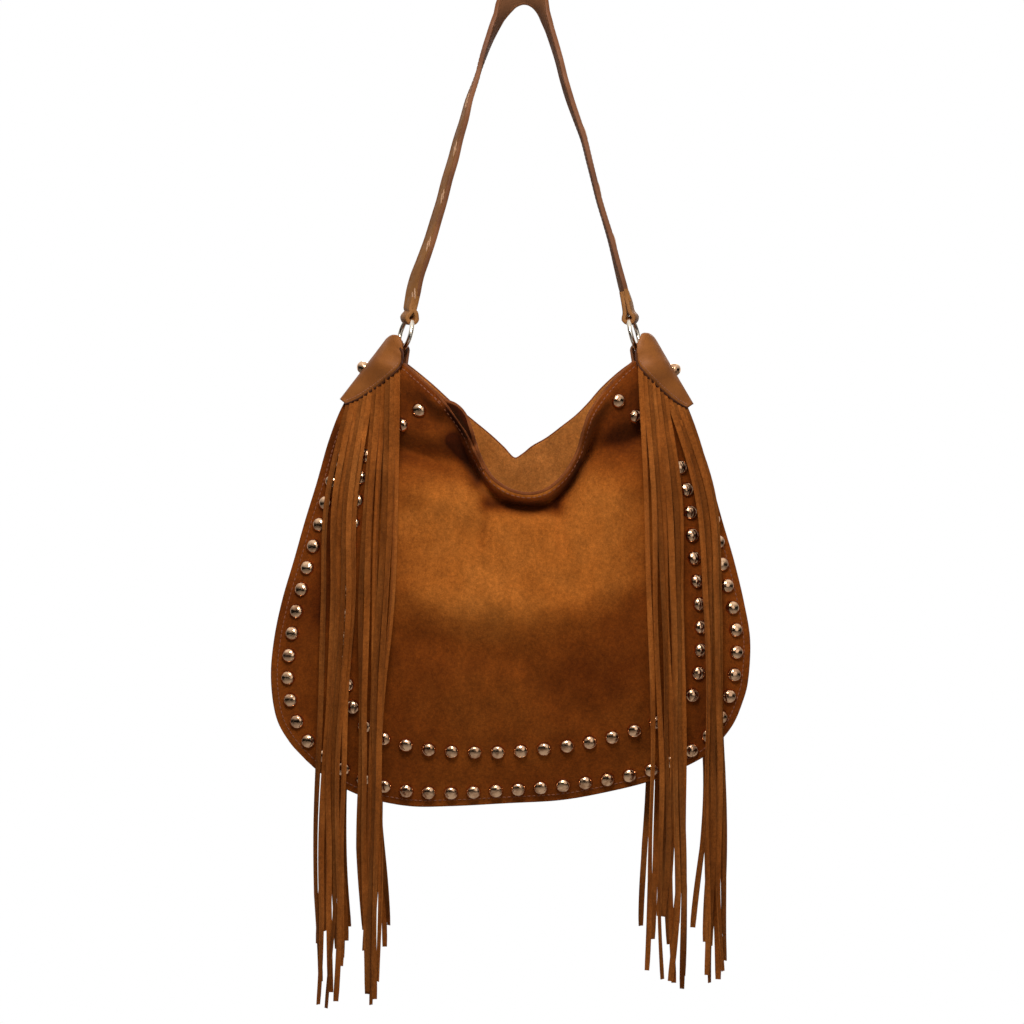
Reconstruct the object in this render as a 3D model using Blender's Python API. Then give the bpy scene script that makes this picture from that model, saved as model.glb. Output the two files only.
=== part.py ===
"""A fringed suede shoulder bag that hangs by the crown of its strap.

The origin is the underside of the crown, where a hook bears. +Z is up, the front
faces -Y and +X is the right side as seen from the front. Lengths are in metres.
"""

import math
from bisect import bisect_left

import bmesh
import bpy
from mathutils import Matrix, Vector
from mathutils.bvhtree import BVHTree

for leftover in list(bpy.data.objects):
    bpy.data.objects.remove(leftover, do_unlink=True)

# Stock and clearances
GAP = 0.0003
SUEDE = 0.002
TAB_LEATHER = 0.0022
LOOP_LEATHER = 0.002
FRINGE_LEATHER = 0.0012

# Strap
STRAP_DROP = 0.294
STRAP_WIDTH = 0.020
STRAP_END_WIDTH = 0.014
STRAP_THICKNESS = 0.004
STRAP_BOW = 0.0025
LEG_START = 0.7
ARCH_ANGLES = (0.28, 0.7, 1.15)
CROWN_RADIUS = 0.020
LACE_LENGTH = 0.014
LACE_WIDTH = 0.004
LACE_PROUD = 0.0008
LACE_SLANT = math.radians(40)
LACE_PITCH = 0.042
LACES_A_LEG = 5
STRAP_STEPS = 44
LEG_STOPS = 7

# Rings
RING_RADIUS = 0.014
RING_WIRE = 0.004
RING_SLACK = 0.0017
LEFT_RING_X = -0.100
RIGHT_RING_X = 0.0945
LEFT_RING_TURN = math.radians(20)
RIGHT_RING_TURN = math.radians(-14)
STRAP_EYE_HEIGHT = 0.018
EYE_NECK = 0.6
EYE_STEPS = 8
RING_LOOP_WIDTH = 0.010
RING_LOOP_HEIGHT = 0.027
RING_LOOP_SLACK = 0.0023

# Bag
CORNER_OUT = 0.017
CORNER_BELOW = 0.014
BAG_DROP = 0.385
LEFT_REACH = 0.097
RIGHT_REACH = 0.0825
FRONT_RIM_SAG = 0.122
BACK_RIM_SAG = 0.092
RIM_ROUNDNESS = 0.22
FRONT_BELLY = 0.046
BACK_BELLY = 0.036
RIM_SWELL = 0.62
BELLY_HEIGHT = 0.40
BELLY_FALL = 2.3
FLANGE = 0.004
SIDE_FULLNESS = 2.4
CORNER_FULLNESS = 5.0
CORNER_REACH = 0.15

# Studs
STUD_RADIUS = 0.006
STUD_HEIGHT = 0.0042
STUD_SEAT = 0.0008
STUD_WALL = 0.6
STUD_SHOULDER = 0.66
STUD_PITCH = 0.0193
OUTER_ROW_INSET = 0.014
INNER_ROW_INSET = 0.046
RIM_STUD_INSET = 0.019
RIM_STUD_IN = 0.029
INNER_ROW_START = 0.133
OUTER_ROW_STOPS = 60
INNER_ROW_STOPS = 40

# Tabs
TAB_LENGTH = 0.070
TAB_WIDTH = 0.024
TAB_RING_CLEARANCE = 0.002
TAB_ABOVE_CORNER = 0.013
FOLD_ROUNDNESS = 0.77
RING_ROOM_END = 0.55
RING_ROOM_FADE = 0.35
SIDE_STUD_DOWN = 0.036

# Fringe
STRIPS = 12
STRIP_GAP = 0.0005
HEADER_TURNS = (math.radians(68), math.radians(90))
FRINGE_FALL = 0.505
FRINGE_RAGGED = 0.024
FRINGE_FAN = 0.006
FRINGE_DRIFT = 0.018
FRINGE_STAND_OFF = 0.0008
FRINGE_LEAD = 0.008
FRINGE_ON_PANEL = 0.354
FRINGE_STOPS = 5
FRINGE_SLANT = 1.3
HEADER_ROOM = 0.0044

# How finely the curved sheets are divided
PANEL_COLUMNS = 20
PANEL_ROWS = 14
TAB_ROWS = 9
TAB_COLUMNS = 10
RING_STEPS = 20
RING_SIDES = 6
STUD_SIDES = 7
RIM_PROBES = 12
RIM_PROBE = 0.002
STRIP_PROBES = 25

# The outline of the bag, as shares: how far a side swells past its corner, and how far down
LEFT_SIDE = (
    (0.0, 0.0), (0.37, 0.12), (0.60, 0.29), (0.80, 0.46),
    (0.97, 0.64), (1.0, 0.73), (0.94, 0.815), (0.70, 0.904),
)
RIGHT_SIDE = (
    (0.0, 0.0), (0.36, 0.13), (0.48, 0.20), (0.70, 0.37),
    (0.92, 0.55), (1.0, 0.665), (0.945, 0.756), (0.69, 0.852),
)
# The hem, as shares of the way from the left side's foot to the right one, and how far down
HEM = (
    (0.096, 0.966), (0.19, 0.997), (0.31, 1.008), (0.52, 1.0),
    (0.65, 0.987), (0.82, 0.953), (0.91, 0.915),
)

# The inner edge of a petal, as shares: along the fold from its top, and in from the fold
PETAL = (
    (-0.08, 0.44), (0.015, 0.77), (0.16, 0.96), (0.24, 1.0),
    (0.39, 0.93), (0.58, 0.78), (0.84, 0.50), (1.0, 0.22),
)
FRINGE_SPAN = (0.33, 0.97)

RING_Z = -STRAP_DROP
CORNER_Z = RING_Z - CORNER_BELOW
LEFT_CORNER = Vector((LEFT_RING_X - CORNER_OUT, CORNER_Z))
RIGHT_CORNER = Vector((RIGHT_RING_X + CORNER_OUT, CORNER_Z))
PANEL_SPAN = RIGHT_CORNER.x - LEFT_CORNER.x + LEFT_REACH + RIGHT_REACH
FRONT, BACK = -1, 1
LEFT, RIGHT = -1, 1
SIDE_NAMES = {LEFT: "left", RIGHT: "right"}
FACE_NAMES = {FRONT: "front", BACK: "back"}


def smooth_path(points, steps=12):
    """A function from a share of the length to a place on a smooth curve, and the length."""
    ends = [2 * points[0] - points[1], *points, 2 * points[-1] - points[-2]]
    dense = [points[0]]
    for a, b, c, d in zip(ends, ends[1:], ends[2:], ends[3:]):
        for step in range(1, steps + 1):
            t = step / steps
            bend = 2 * a - 5 * b + 4 * c - d
            dense.append(0.5 * (2 * b + (c - a) * t + bend * t**2 + (3 * b - a - 3 * c + d) * t**3))
    run = [0.0]
    for a, b in zip(dense, dense[1:]):
        run.append(run[-1] + (b - a).length)

    def place(share):
        length = min(max(share, 0.0), 1.0) * run[-1]
        after = min(max(bisect_left(run, length), 1), len(run) - 1)
        part = (length - run[after - 1]) / (run[after] - run[after - 1])
        return dense[after - 1].lerp(dense[after], part)

    return place, run[-1]


def side_points(side):
    corner, reach, shares = {
        LEFT: (LEFT_CORNER, LEFT_REACH, LEFT_SIDE),
        RIGHT: (RIGHT_CORNER, RIGHT_REACH, RIGHT_SIDE),
    }[side]
    return [corner + Vector((side * out * reach, -down * BAG_DROP)) for out, down in shares]


def hem_points():
    start, end = side_points(LEFT)[-1], side_points(RIGHT)[-1]
    between = [
        Vector((start.x + share * (end.x - start.x), CORNER_Z - down * BAG_DROP))
        for share, down in HEM
    ]
    return [start, *between, end]


LEFT_EDGE, LEFT_LENGTH = smooth_path(side_points(LEFT))
RIGHT_EDGE, RIGHT_LENGTH = smooth_path(side_points(RIGHT))
HEM_EDGE, _ = smooth_path(hem_points())
PETAL_EDGE, _ = smooth_path([Vector((a * TAB_LENGTH, n * TAB_WIDTH)) for a, n in PETAL])
OUTLINE = side_points(LEFT) + hem_points()[1:-1] + side_points(RIGHT)[::-1]
WHOLE_EDGE, WHOLE_LENGTH = smooth_path(OUTLINE)


def rim(u, sag):
    """The mouth's edge: straight slopes from both corners into a round low point."""
    along = 2 * u - 1
    steep = math.hypot(1, RIM_ROUNDNESS) - RIM_ROUNDNESS
    rise = (math.hypot(along, RIM_ROUNDNESS) - RIM_ROUNDNESS) / steep
    return LEFT_CORNER.lerp(RIGHT_CORNER, u) + Vector((0, -sag * (1 - rise)))


def swell(u, v):
    """How far a panel stands out, as a share of its belly: none on the sewn flange."""
    across = min(1.0, abs(2 * u - 1) / (1 - 2 * FLANGE / PANEL_SPAN))
    flat_hem = FLANGE / BAG_DROP
    down = min(1.0, v / (1 - flat_hem))
    if down < BELLY_HEIGHT:
        rise = math.sin(math.pi / 2 * down / BELLY_HEIGHT)
        height = RIM_SWELL + (1 - RIM_SWELL) * rise
    else:
        height = 1 - ((down - BELLY_HEIGHT) / (1 - BELLY_HEIGHT)) ** BELLY_FALL
    fullness = SIDE_FULLNESS + CORNER_FULLNESS * max(0.0, 1 - v / CORNER_REACH)
    return (1 - across**fullness) * height


def panel_place(u, v, face):
    """A place on the middle of a panel's wall; u runs across, v from the rim to the hem."""
    sag, belly = (FRONT_RIM_SAG, FRONT_BELLY) if face == FRONT else (BACK_RIM_SAG, BACK_BELLY)
    top, foot = rim(u, sag), HEM_EDGE(u)
    left, right = LEFT_EDGE(v), RIGHT_EDGE(v)
    corners = (
        (1 - u) * (1 - v) * LEFT_CORNER + u * (1 - v) * RIGHT_CORNER
        + (1 - u) * v * HEM_EDGE(0) + u * v * HEM_EDGE(1)
    )
    flat = (1 - v) * top + v * foot + (1 - u) * left + u * right - corners
    return Vector((flat.x, face * (GAP / 2 + SUEDE / 2 + belly * swell(u, v)), flat.y))


def material(name, colour, roughness, metallic=0.0):
    made = bpy.data.materials.new(name)
    made.use_nodes = True
    shader = made.node_tree.nodes["Principled BSDF"]
    shader.inputs["Base Color"].default_value = (*colour, 1)
    shader.inputs["Roughness"].default_value = roughness
    shader.inputs["Metallic"].default_value = metallic
    return made


def pivot(name, place):
    empty = bpy.data.objects.new(name, None)
    empty.location = place
    bpy.context.collection.objects.link(empty)
    return empty


def add_object(bm, name, finish, carrier, smooth_angle=40):
    """Turns a bmesh in world coordinates into an object whose origin is its carrier's."""
    bmesh.ops.recalc_face_normals(bm, faces=bm.faces)
    bmesh.ops.translate(bm, vec=-carrier.location, verts=bm.verts)
    mesh = bpy.data.meshes.new(name)
    bm.to_mesh(mesh)
    bm.free()
    mesh.shade_smooth()
    mesh.set_sharp_from_angle(angle=math.radians(smooth_angle))
    mesh.materials.append(finish)
    made = bpy.data.objects.new(name, mesh)
    made.parent = carrier
    bpy.context.collection.objects.link(made)
    return made


def thicken(made, thickness):
    wall = made.modifiers.new("Wall", "SOLIDIFY")
    wall.thickness = thickness
    wall.offset = 0


def fuse(made, helper):
    """Joins a hidden helper to an object, which stays one body."""
    helper.hide_render = True
    helper.display_type = "WIRE"
    join = made.modifiers.new(f"Join {helper.name}", "BOOLEAN")
    join.operation = "UNION"
    join.solver = "EXACT"
    join.object = helper


def surface_of(made):
    """The finished surface of an object, for finding where something rests on it."""
    bpy.context.view_layer.update()
    bm = bmesh.new()
    bm.from_object(made, bpy.context.evaluated_depsgraph_get())
    bm.transform(made.matrix_world)
    tree = BVHTree.FromBMesh(bm)
    bm.free()
    return tree


def outer_hit(tree, flat, face):
    """Where a line from outside, at a place in the plane of the bag, meets a panel."""
    place, normal, _, _ = tree.ray_cast(Vector((flat.x, face, flat.y)), Vector((0, -face, 0)))
    return place, normal


def panel_depth(tree, flat, face):
    """How far a panel stands from the middle of the bag, at its rim if the place is above it."""
    for step in range(RIM_PROBES):
        place, _ = outer_hit(tree, flat - Vector((0, step * RIM_PROBE)), face)
        if place is not None:
            return abs(place.y)
    return 0.0


def sheet(columns, rows, place_at):
    """A grid whose vertex in column i and row j moves to place_at(i, j)."""
    bm = bmesh.new()
    bmesh.ops.create_grid(bm, x_segments=columns, y_segments=rows, size=0.5)
    for vertex in bm.verts:
        vertex.co = place_at(round((vertex.co.x + 0.5) * columns), round((0.5 - vertex.co.y) * rows))
    return bm


def stops(count, edge, both_ends):
    """Even shares from 0 to 1, with a first and a last step (or only a last one) of its own."""
    if both_ends:
        return [0.0] + [edge + (1 - 2 * edge) * i / (count - 2) for i in range(count - 1)] + [1.0]
    return [(1 - edge) * i / (count - 1) for i in range(count)] + [1.0]


def build_panel(face, finish, carrier):
    across = stops(PANEL_COLUMNS, FLANGE / PANEL_SPAN, True)
    down = stops(PANEL_ROWS, FLANGE / BAG_DROP, False)
    bm = sheet(PANEL_COLUMNS, PANEL_ROWS, lambda i, j: panel_place(across[i], down[j], face))
    panel = add_object(bm, f"{FACE_NAMES[face]}_panel", finish, carrier)
    thicken(panel, SUEDE)
    return panel


def inset_edge(inset, first, last, count):
    """Places along the outline, moved into the bag."""
    step = 0.002
    places = []
    for i in range(count):
        share = first + (last - first) * i / (count - 1)
        ahead = WHOLE_EDGE(share + step) - WHOLE_EDGE(share - step)
        inward = Vector((-ahead.y, ahead.x)).normalized()
        places.append(WHOLE_EDGE(share) + inset * inward)
    return places


def rim_stud(side):
    """The stud at the top of the inner row, set in from the mouth's edge."""
    span = RIGHT_CORNER.x - LEFT_CORNER.x
    share = RIM_STUD_IN / span
    u = share if side == LEFT else 1 - share
    slope = rim(u + 0.01, FRONT_RIM_SAG) - rim(u - 0.01, FRONT_RIM_SAG)
    down = Vector((slope.y, -slope.x)).normalized()
    return rim(u, FRONT_RIM_SAG) + RIM_STUD_INSET * down


def stud_places():
    """The centres of the studs of both rows, in the plane of the bag."""
    clear = (TAB_LENGTH + 2 * STUD_RADIUS) / WHOLE_LENGTH
    outer = inset_edge(OUTER_ROW_INSET, clear, 1 - clear, OUTER_ROW_STOPS)
    top = INNER_ROW_START / WHOLE_LENGTH
    inner = inset_edge(INNER_ROW_INSET, top, 1 - top, INNER_ROW_STOPS)
    inner = [rim_stud(LEFT), *inner, rim_stud(RIGHT)]
    places = []
    for row in (outer, inner):
        line, length = smooth_path(row, 4)
        count = round(length / STUD_PITCH)
        places += [line(i / count) for i in range(count + 1)]
    return places


def add_dome(bm, place, normal):
    """A faceted dome whose foot is sunk a little into what carries it."""
    matrix = Matrix.Translation(place) @ normal.to_track_quat("Z", "Y").to_matrix().to_4x4()
    wall = STUD_SEAT + STUD_WALL * STUD_HEIGHT
    lift = Matrix.Translation((0, 0, wall / 2 - STUD_SEAT))
    made = bmesh.ops.create_cone(
        bm, cap_ends=True, segments=STUD_SIDES, radius1=STUD_RADIUS,
        radius2=STUD_SHOULDER * STUD_RADIUS, depth=wall, matrix=matrix @ lift,
    )
    faces = {face for vertex in made["verts"] for face in vertex.link_faces}
    top = max(faces, key=lambda face: (face.calc_center_median() - place).dot(normal))
    apex = bmesh.ops.poke(bm, faces=[top])["verts"][0]
    apex.co = place + STUD_HEIGHT * normal


def build_studs(panel, finish, carrier):
    tree = surface_of(panel)
    bm = bmesh.new()
    for flat in stud_places():
        place, normal = outer_hit(tree, flat, FRONT)
        add_dome(bm, place, normal)
    fuse(panel, add_object(bm, "stud_rows", finish, carrier))


def fold_frame(side):
    """The top of a tab's fold in the plane of the bag, its direction, and outwards."""
    edge = LEFT_EDGE if side == LEFT else RIGHT_EDGE
    length = LEFT_LENGTH if side == LEFT else RIGHT_LENGTH
    below_corner = (TAB_LENGTH - TAB_ABOVE_CORNER) / length
    top = edge(0.0)
    along = (edge(below_corner) - top).normalized()
    out = Vector((along.y, -along.x)) * -side
    bulge = max((edge(below_corner * i / 8) - top).dot(out) for i in range(9))
    clearance = GAP + SUEDE / 2 + TAB_LEATHER / 2
    return top - TAB_ABOVE_CORNER * along + (bulge + clearance) * out, along, out


def petal_edge(side, t):
    """The inner edge of a petal, from its top, 0, to its tip, 1, where the fringe comes out."""
    top, along, out = fold_frame(side)
    a, n = PETAL_EDGE(t)
    return top + a * along - n * out


def petal_depth(tree, side, face, t):
    """How far a petal's edge stands from the middle of the bag, with the fringe under it."""
    ring = RING_RADIUS + RING_WIRE / 2 + TAB_RING_CLEARANCE + TAB_LEATHER / 2
    round_ring = ring * min(1.0, max(0.0, (RING_ROOM_END - t) / RING_ROOM_FADE))
    panel = panel_depth(tree, petal_edge(side, t), face)
    return max(panel + HEADER_ROOM + TAB_LEATHER / 2, round_ring)


def petal_place(tree, side, face, t, turn):
    """A place on the middle of a tab: turn is 0 on its fold and a quarter circle at its edge."""
    top, along, _ = fold_frame(side)
    fold = top + t * TAB_LENGTH * along
    flat = fold.lerp(petal_edge(side, t), 1 - math.cos(turn) ** FOLD_ROUNDNESS)
    return flat, petal_depth(tree, side, face, t) * math.sin(turn) ** FOLD_ROUNDNESS


def build_tab(side, trees, finish, carrier):
    def place_at(i, j):
        turn = math.pi * (i / TAB_COLUMNS - 0.5)
        face = FRONT if turn < 0 else BACK
        flat, depth = petal_place(trees[face], side, face, j / TAB_ROWS, min(abs(turn), math.pi / 2))
        return Vector((flat.x, face * depth, flat.y))

    bm = sheet(TAB_COLUMNS, TAB_ROWS, place_at)
    tab = add_object(bm, f"{SIDE_NAMES[side]}_tab", finish, carrier)
    thicken(tab, TAB_LEATHER)


def build_side_stud(side, finish, carrier):
    bm = bmesh.new()
    top, along, out = fold_frame(side)
    fold = top + SIDE_STUD_DOWN * along
    outward = Vector((out.x, 0, out.y))
    seat = Vector((fold.x, 0, fold.y)) + (TAB_LEATHER / 2 + GAP + STUD_SEAT) * outward
    add_dome(bm, seat, outward)
    add_object(bm, f"{SIDE_NAMES[side]}_side_stud", finish, carrier)


def ring_x(side):
    return LEFT_RING_X if side == LEFT else RIGHT_RING_X


def ring_turn(side):
    return LEFT_RING_TURN if side == LEFT else RIGHT_RING_TURN


def ring_frame(side):
    """The direction of a ring's top, in line with the strap's pull, and of the wire there."""
    up = Vector((-ring_x(side) + side * CROWN_RADIUS, 0, STRAP_DROP)).normalized()
    return up, Matrix.Rotation(ring_turn(side), 3, up) @ Vector((0, 1, 0))


def build_ring(side, finish, carrier):
    """A round wire ring, seen nearly edge-on from the front."""
    up, wire = ring_frame(side)
    turned = Matrix((wire.cross(up), wire, up)).transposed().to_4x4()
    bm = bmesh.new()
    section = Matrix.Translation((0, RING_RADIUS, 0))
    bmesh.ops.create_circle(bm, segments=RING_SIDES, radius=RING_WIRE / 2, matrix=section)
    bmesh.ops.spin(
        bm, geom=bm.verts[:] + bm.edges[:], cent=(0, 0, 0), axis=(1, 0, 0),
        angle=math.tau, steps=RING_STEPS, use_merge=True,
    )
    bmesh.ops.transform(bm, matrix=Matrix.Translation(carrier.location) @ turned, verts=bm.verts)
    add_object(bm, f"{SIDE_NAMES[side]}_ring", finish, carrier, 60)


def band(places, widths, directions, closed):
    """A strip of leather through the places, each with its own width and width direction."""
    bm = bmesh.new()
    near = [bm.verts.new(p - w / 2 * d) for p, w, d in zip(places, widths, directions)]
    edges = [bm.edges.new(pair) for pair in zip(near, near[1:])]
    if closed:
        edges.append(bm.edges.new((near[-1], near[0])))
    far = bmesh.ops.extrude_edge_only(bm, edges=edges)["geom"]
    for vertex in (g for g in far if isinstance(g, bmesh.types.BMVert)):
        i = min(range(len(near)), key=lambda k: (near[k].co - vertex.co).length)
        vertex.co = places[i] + widths[i] / 2 * directions[i]
    return bm


def eye(centre, along, across, radius, height, waist):
    """A teardrop round a wire: a half circle, and two sides that close towards along."""
    arc = [math.pi * (i / EYE_STEPS - 1) for i in range(EYE_STEPS + 1)]
    turn = [centre + radius * (math.cos(a) * across + math.sin(a) * along) for a in arc]
    half, foot = waist / 2, height * along
    narrow = (1 - EYE_NECK) * radius + EYE_NECK * half
    neck = [centre + EYE_NECK * foot + side * narrow * across for side in (1, -1)]
    ends = [centre + foot + side * half * across for side in (1, -1)]
    return [*turn, neck[0], *ends, neck[1]]


def wire_rise(width):
    """How much the inside of a ring curves away over half the width of a loop in it."""
    inside = RING_RADIUS - RING_WIRE / 2
    return inside - math.sqrt(inside**2 - (width / 2) ** 2)


def strap_line(share):
    """A place on the middle of the strap, from the left end, 0, over the crown to the right."""
    reach = CROWN_RADIUS + STRAP_THICKNESS / 2
    arch = Vector((0, STRAP_THICKNESS / 2 - reach))
    places = []
    for side in (LEFT, RIGHT):
        up, _ = ring_frame(side)
        foot = Vector((ring_x(side), RING_Z)) + (RING_RADIUS + LEG_START * STRAP_EYE_HEIGHT) * up.xz
        rise = [Vector((side * math.cos(a), math.sin(a))) for a in ARCH_ANGLES]
        tangent = arch + reach * rise[0]
        leg = []
        for i in range(LEG_STOPS):
            t = i / LEG_STOPS
            bow = Vector((side * STRAP_BOW * math.sin(math.pi * t), 0))
            leg.append(foot.lerp(tangent, t) + bow)
        places.append(leg + [arch + reach * way for way in rise])
    left, right = places
    line, length = smooth_path([*left, arch + Vector((0, reach)), *right[::-1]], 8)
    return line(share), length


def strap_frame(share):
    """Place, direction, width direction and outward direction of the strap."""
    here, length = strap_line(share)
    step = 0.004
    ahead = strap_line(min(share + step, 1))[0] - strap_line(max(share - step, 0))[0]
    ahead.normalize()
    twist = LEFT_RING_TURN * max(0, 1 - 2 * share) + RIGHT_RING_TURN * max(0, 2 * share - 1)
    along = Vector((ahead.x, 0, ahead.y))
    width = Matrix.Rotation(twist if share < 0.5 else -twist, 3, along) @ Vector((0, 1, 0))
    return Vector((here.x, 0, here.y)), along, width, length


def build_strap(finish, lace_finish, carrier):
    frames = [strap_frame(i / STRAP_STEPS) for i in range(STRAP_STEPS + 1)]
    widths = []
    for i in range(STRAP_STEPS + 1):
        from_end = min(i, STRAP_STEPS - i) / STRAP_STEPS * frames[0][3]
        full = min(1.0, from_end / (2 * STRAP_WIDTH))
        widths.append(STRAP_END_WIDTH + (STRAP_WIDTH - STRAP_END_WIDTH) * full)
    bm = band([f[0] for f in frames], widths, [f[2] for f in frames], False)
    strap = add_object(bm, "strap", finish, carrier)
    thicken(strap, STRAP_THICKNESS)
    for side in (LEFT, RIGHT):
        fuse(strap, build_strap_eye(side, finish, carrier))
    fuse(strap, build_lace(frames[0][3], lace_finish, carrier))


def build_strap_eye(side, finish, carrier):
    """The end of the strap, turned round the ring's top and sewn back on itself."""
    up, width = ring_frame(side)
    wire = Vector((ring_x(side), 0, RING_Z)) + RING_RADIUS * up
    inner = RING_WIRE / 2 + RING_SLACK
    drop = RING_WIRE / 2 + wire_rise(STRAP_END_WIDTH) + 2 * GAP
    centre = wire + (inner - drop) * up
    ply = STRAP_THICKNESS / 2
    across = up.cross(width).normalized()
    places = eye(centre, up, across, inner + ply / 2, STRAP_EYE_HEIGHT, ply)
    widths = [STRAP_END_WIDTH] * len(places)
    bm = band(places, widths, [width] * len(places), True)
    made = add_object(bm, f"{SIDE_NAMES[side]}_strap_eye", finish, carrier)
    thicken(made, ply)
    return made


def build_lace(length, finish, carrier):
    """Short slanted stitches along the outer face of both legs, near the front edge."""
    bm = bmesh.new()
    for side in (LEFT, RIGHT):
        for i in range(LACES_A_LEG):
            share = (STRAP_EYE_HEIGHT + LACE_PITCH * (i + 0.5)) / length
            here, along, width, _ = strap_frame(share if side == LEFT else 1 - share)
            out = along.cross(width) if side == LEFT else -along.cross(width)
            out = out.normalized() * (1 if out.normalized().x * side > 0 else -1)
            centre = here + (STRAP_THICKNESS / 2) * out - (STRAP_WIDTH / 2 - LACE_LENGTH / 2) * width
            slant = Matrix.Rotation(LACE_SLANT, 3, out)
            axes = Matrix((slant @ along, out.cross(slant @ along), out)).transposed().to_4x4()
            size = Matrix.Diagonal((LACE_LENGTH, LACE_WIDTH, 2 * LACE_PROUD, 1))
            bmesh.ops.create_cube(bm, size=1, matrix=Matrix.Translation(centre) @ axes @ size)
    return add_object(bm, "lace", finish, carrier)


def build_ring_loop(side, trees, finish, carrier):
    """A leather loop over the ring's foot, sewn between the panels at the bag's corner."""
    up, width = ring_frame(side)
    wire = Vector((ring_x(side), 0, RING_Z)) - RING_RADIUS * up
    inner = RING_WIRE / 2 + RING_LOOP_SLACK
    drop = RING_WIRE / 2 + wire_rise(RING_LOOP_WIDTH) + 3 * GAP
    down = Vector((0, 0, -1))
    across = down.cross(width).normalized()
    centre = wire + (inner - drop) * down
    places = eye(centre, down, across, inner + LOOP_LEATHER / 2, RING_LOOP_HEIGHT, LOOP_LEATHER + GAP)
    foot = Vector((wire.x, places[-2].z))
    room = {}
    for face in (FRONT, BACK):
        hits = [
            trees[face].ray_cast(Vector((foot.x + dx, 0, foot.y)), Vector((0, face, 0)))[0].y
            for dx in (-2 * LOOP_LEATHER, 2 * LOOP_LEATHER)
        ]
        room[face] = min(abs(y) for y in hits) - GAP
    bm = band(places, [RING_LOOP_WIDTH] * len(places), [width] * len(places), True)
    for vertex in bm.verts:
        if vertex.co.z < foot.y + GAP:
            vertex.co.y = room[BACK] if vertex.co.y > 0 else -room[FRONT]
    made = add_object(bm, f"{SIDE_NAMES[side]}_ring_loop", finish, carrier)
    thicken(made, LOOP_LEATHER)


def strip_share(side, x):
    """How far down a petal's edge has a given x."""
    first, last = FRINGE_SPAN
    for _ in range(20):
        middle = (first + last) / 2
        if side * (petal_edge(side, middle).x - x) < 0:
            first = middle
        else:
            last = middle
    return first


def clear_depth(tree, x, half, top, foot, face):
    """The furthest that a panel and its studs stand out behind a stretch of a strip."""
    deepest = 0.0
    for i in range(STRIP_PROBES):
        z = top + (foot - top) * i / (STRIP_PROBES - 1)
        for dx in (-half, 0.0, half):
            place, _ = outer_hit(tree, Vector((x + dx, z)), face)
            if place is not None:
                deepest = max(deepest, face * place.y)
    return deepest


def header_place(tree, side, face, share, turn):
    """A place on the header, half way between the petal that covers it and the panel."""
    flat, depth = petal_place(tree, side, face, share, turn)
    petal = depth - TAB_LEATHER / 2
    return Vector((flat.x, face * (petal + panel_depth(tree, flat, face)) / 2, flat.y))


def build_fringe(side, face, bare, dressed, finish, carrier):
    """One piece of suede cut into strips: a header under the petal, and the strips that hang."""
    inner_x, outer_x = (petal_edge(side, t).x for t in FRINGE_SPAN)
    pitch = (outer_x - inner_x) / STRIPS
    half = abs(pitch) / 2 - STRIP_GAP / 2
    steps = [FRINGE_ON_PANEL * i / FRINGE_STOPS for i in range(FRINGE_STOPS + 1)]
    drops = [*(FRINGE_LEAD + step for step in steps), FRINGE_FALL]
    bm = bmesh.new()
    rows = []
    for n in range(STRIPS):
        middle = inner_x + pitch * (n + 0.5)
        ragged = FRINGE_RAGGED * abs(math.sin(2.4 * n + side + 2 * face))
        depth = 0.0
        columns = []
        for dx in (-half, half):
            share = strip_share(side, middle + dx)
            columns.append([header_place(bare, side, face, share, turn) for turn in HEADER_TURNS])
        start = (columns[0][1] + columns[1][1]) / 2
        for k, drop in enumerate(drops):
            fall = drop - (ragged if k == len(drops) - 1 else 0.0)
            share = min(1.0, drop / (BAG_DROP - CORNER_BELOW))
            slide = side * (FRINGE_DRIFT + FRINGE_FAN * n / STRIPS) * share**FRINGE_SLANT
            before = drops[max(k - 1, 0)]
            after = drops[min(k + 1, len(drops) - 1)]
            top, foot = start.z - before, start.z - after
            depth = max(depth, clear_depth(dressed, middle + slide, 2 * half, top, foot, face))
            for line, dx in zip(columns, (-half, half)):
                y = face * (depth + FRINGE_STAND_OFF + FRINGE_LEATHER / 2)
                line.append(Vector((middle + slide + dx, y, start.z - fall)))
        rows.append(columns)
    loops = [[bm.verts.new(place) for place in line] for columns in rows for line in columns]
    for n, (first, second) in enumerate(zip(loops, loops[1:])):
        reach = len(first) if n % 2 == 0 else 2
        for k in range(reach - 1):
            bm.faces.new((first[k], first[k + 1], second[k + 1], second[k]))
    name = f"{SIDE_NAMES[side]}_{FACE_NAMES[face]}_fringe"
    made = add_object(bm, name, finish, carrier)
    thicken(made, FRINGE_LEATHER)


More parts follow.
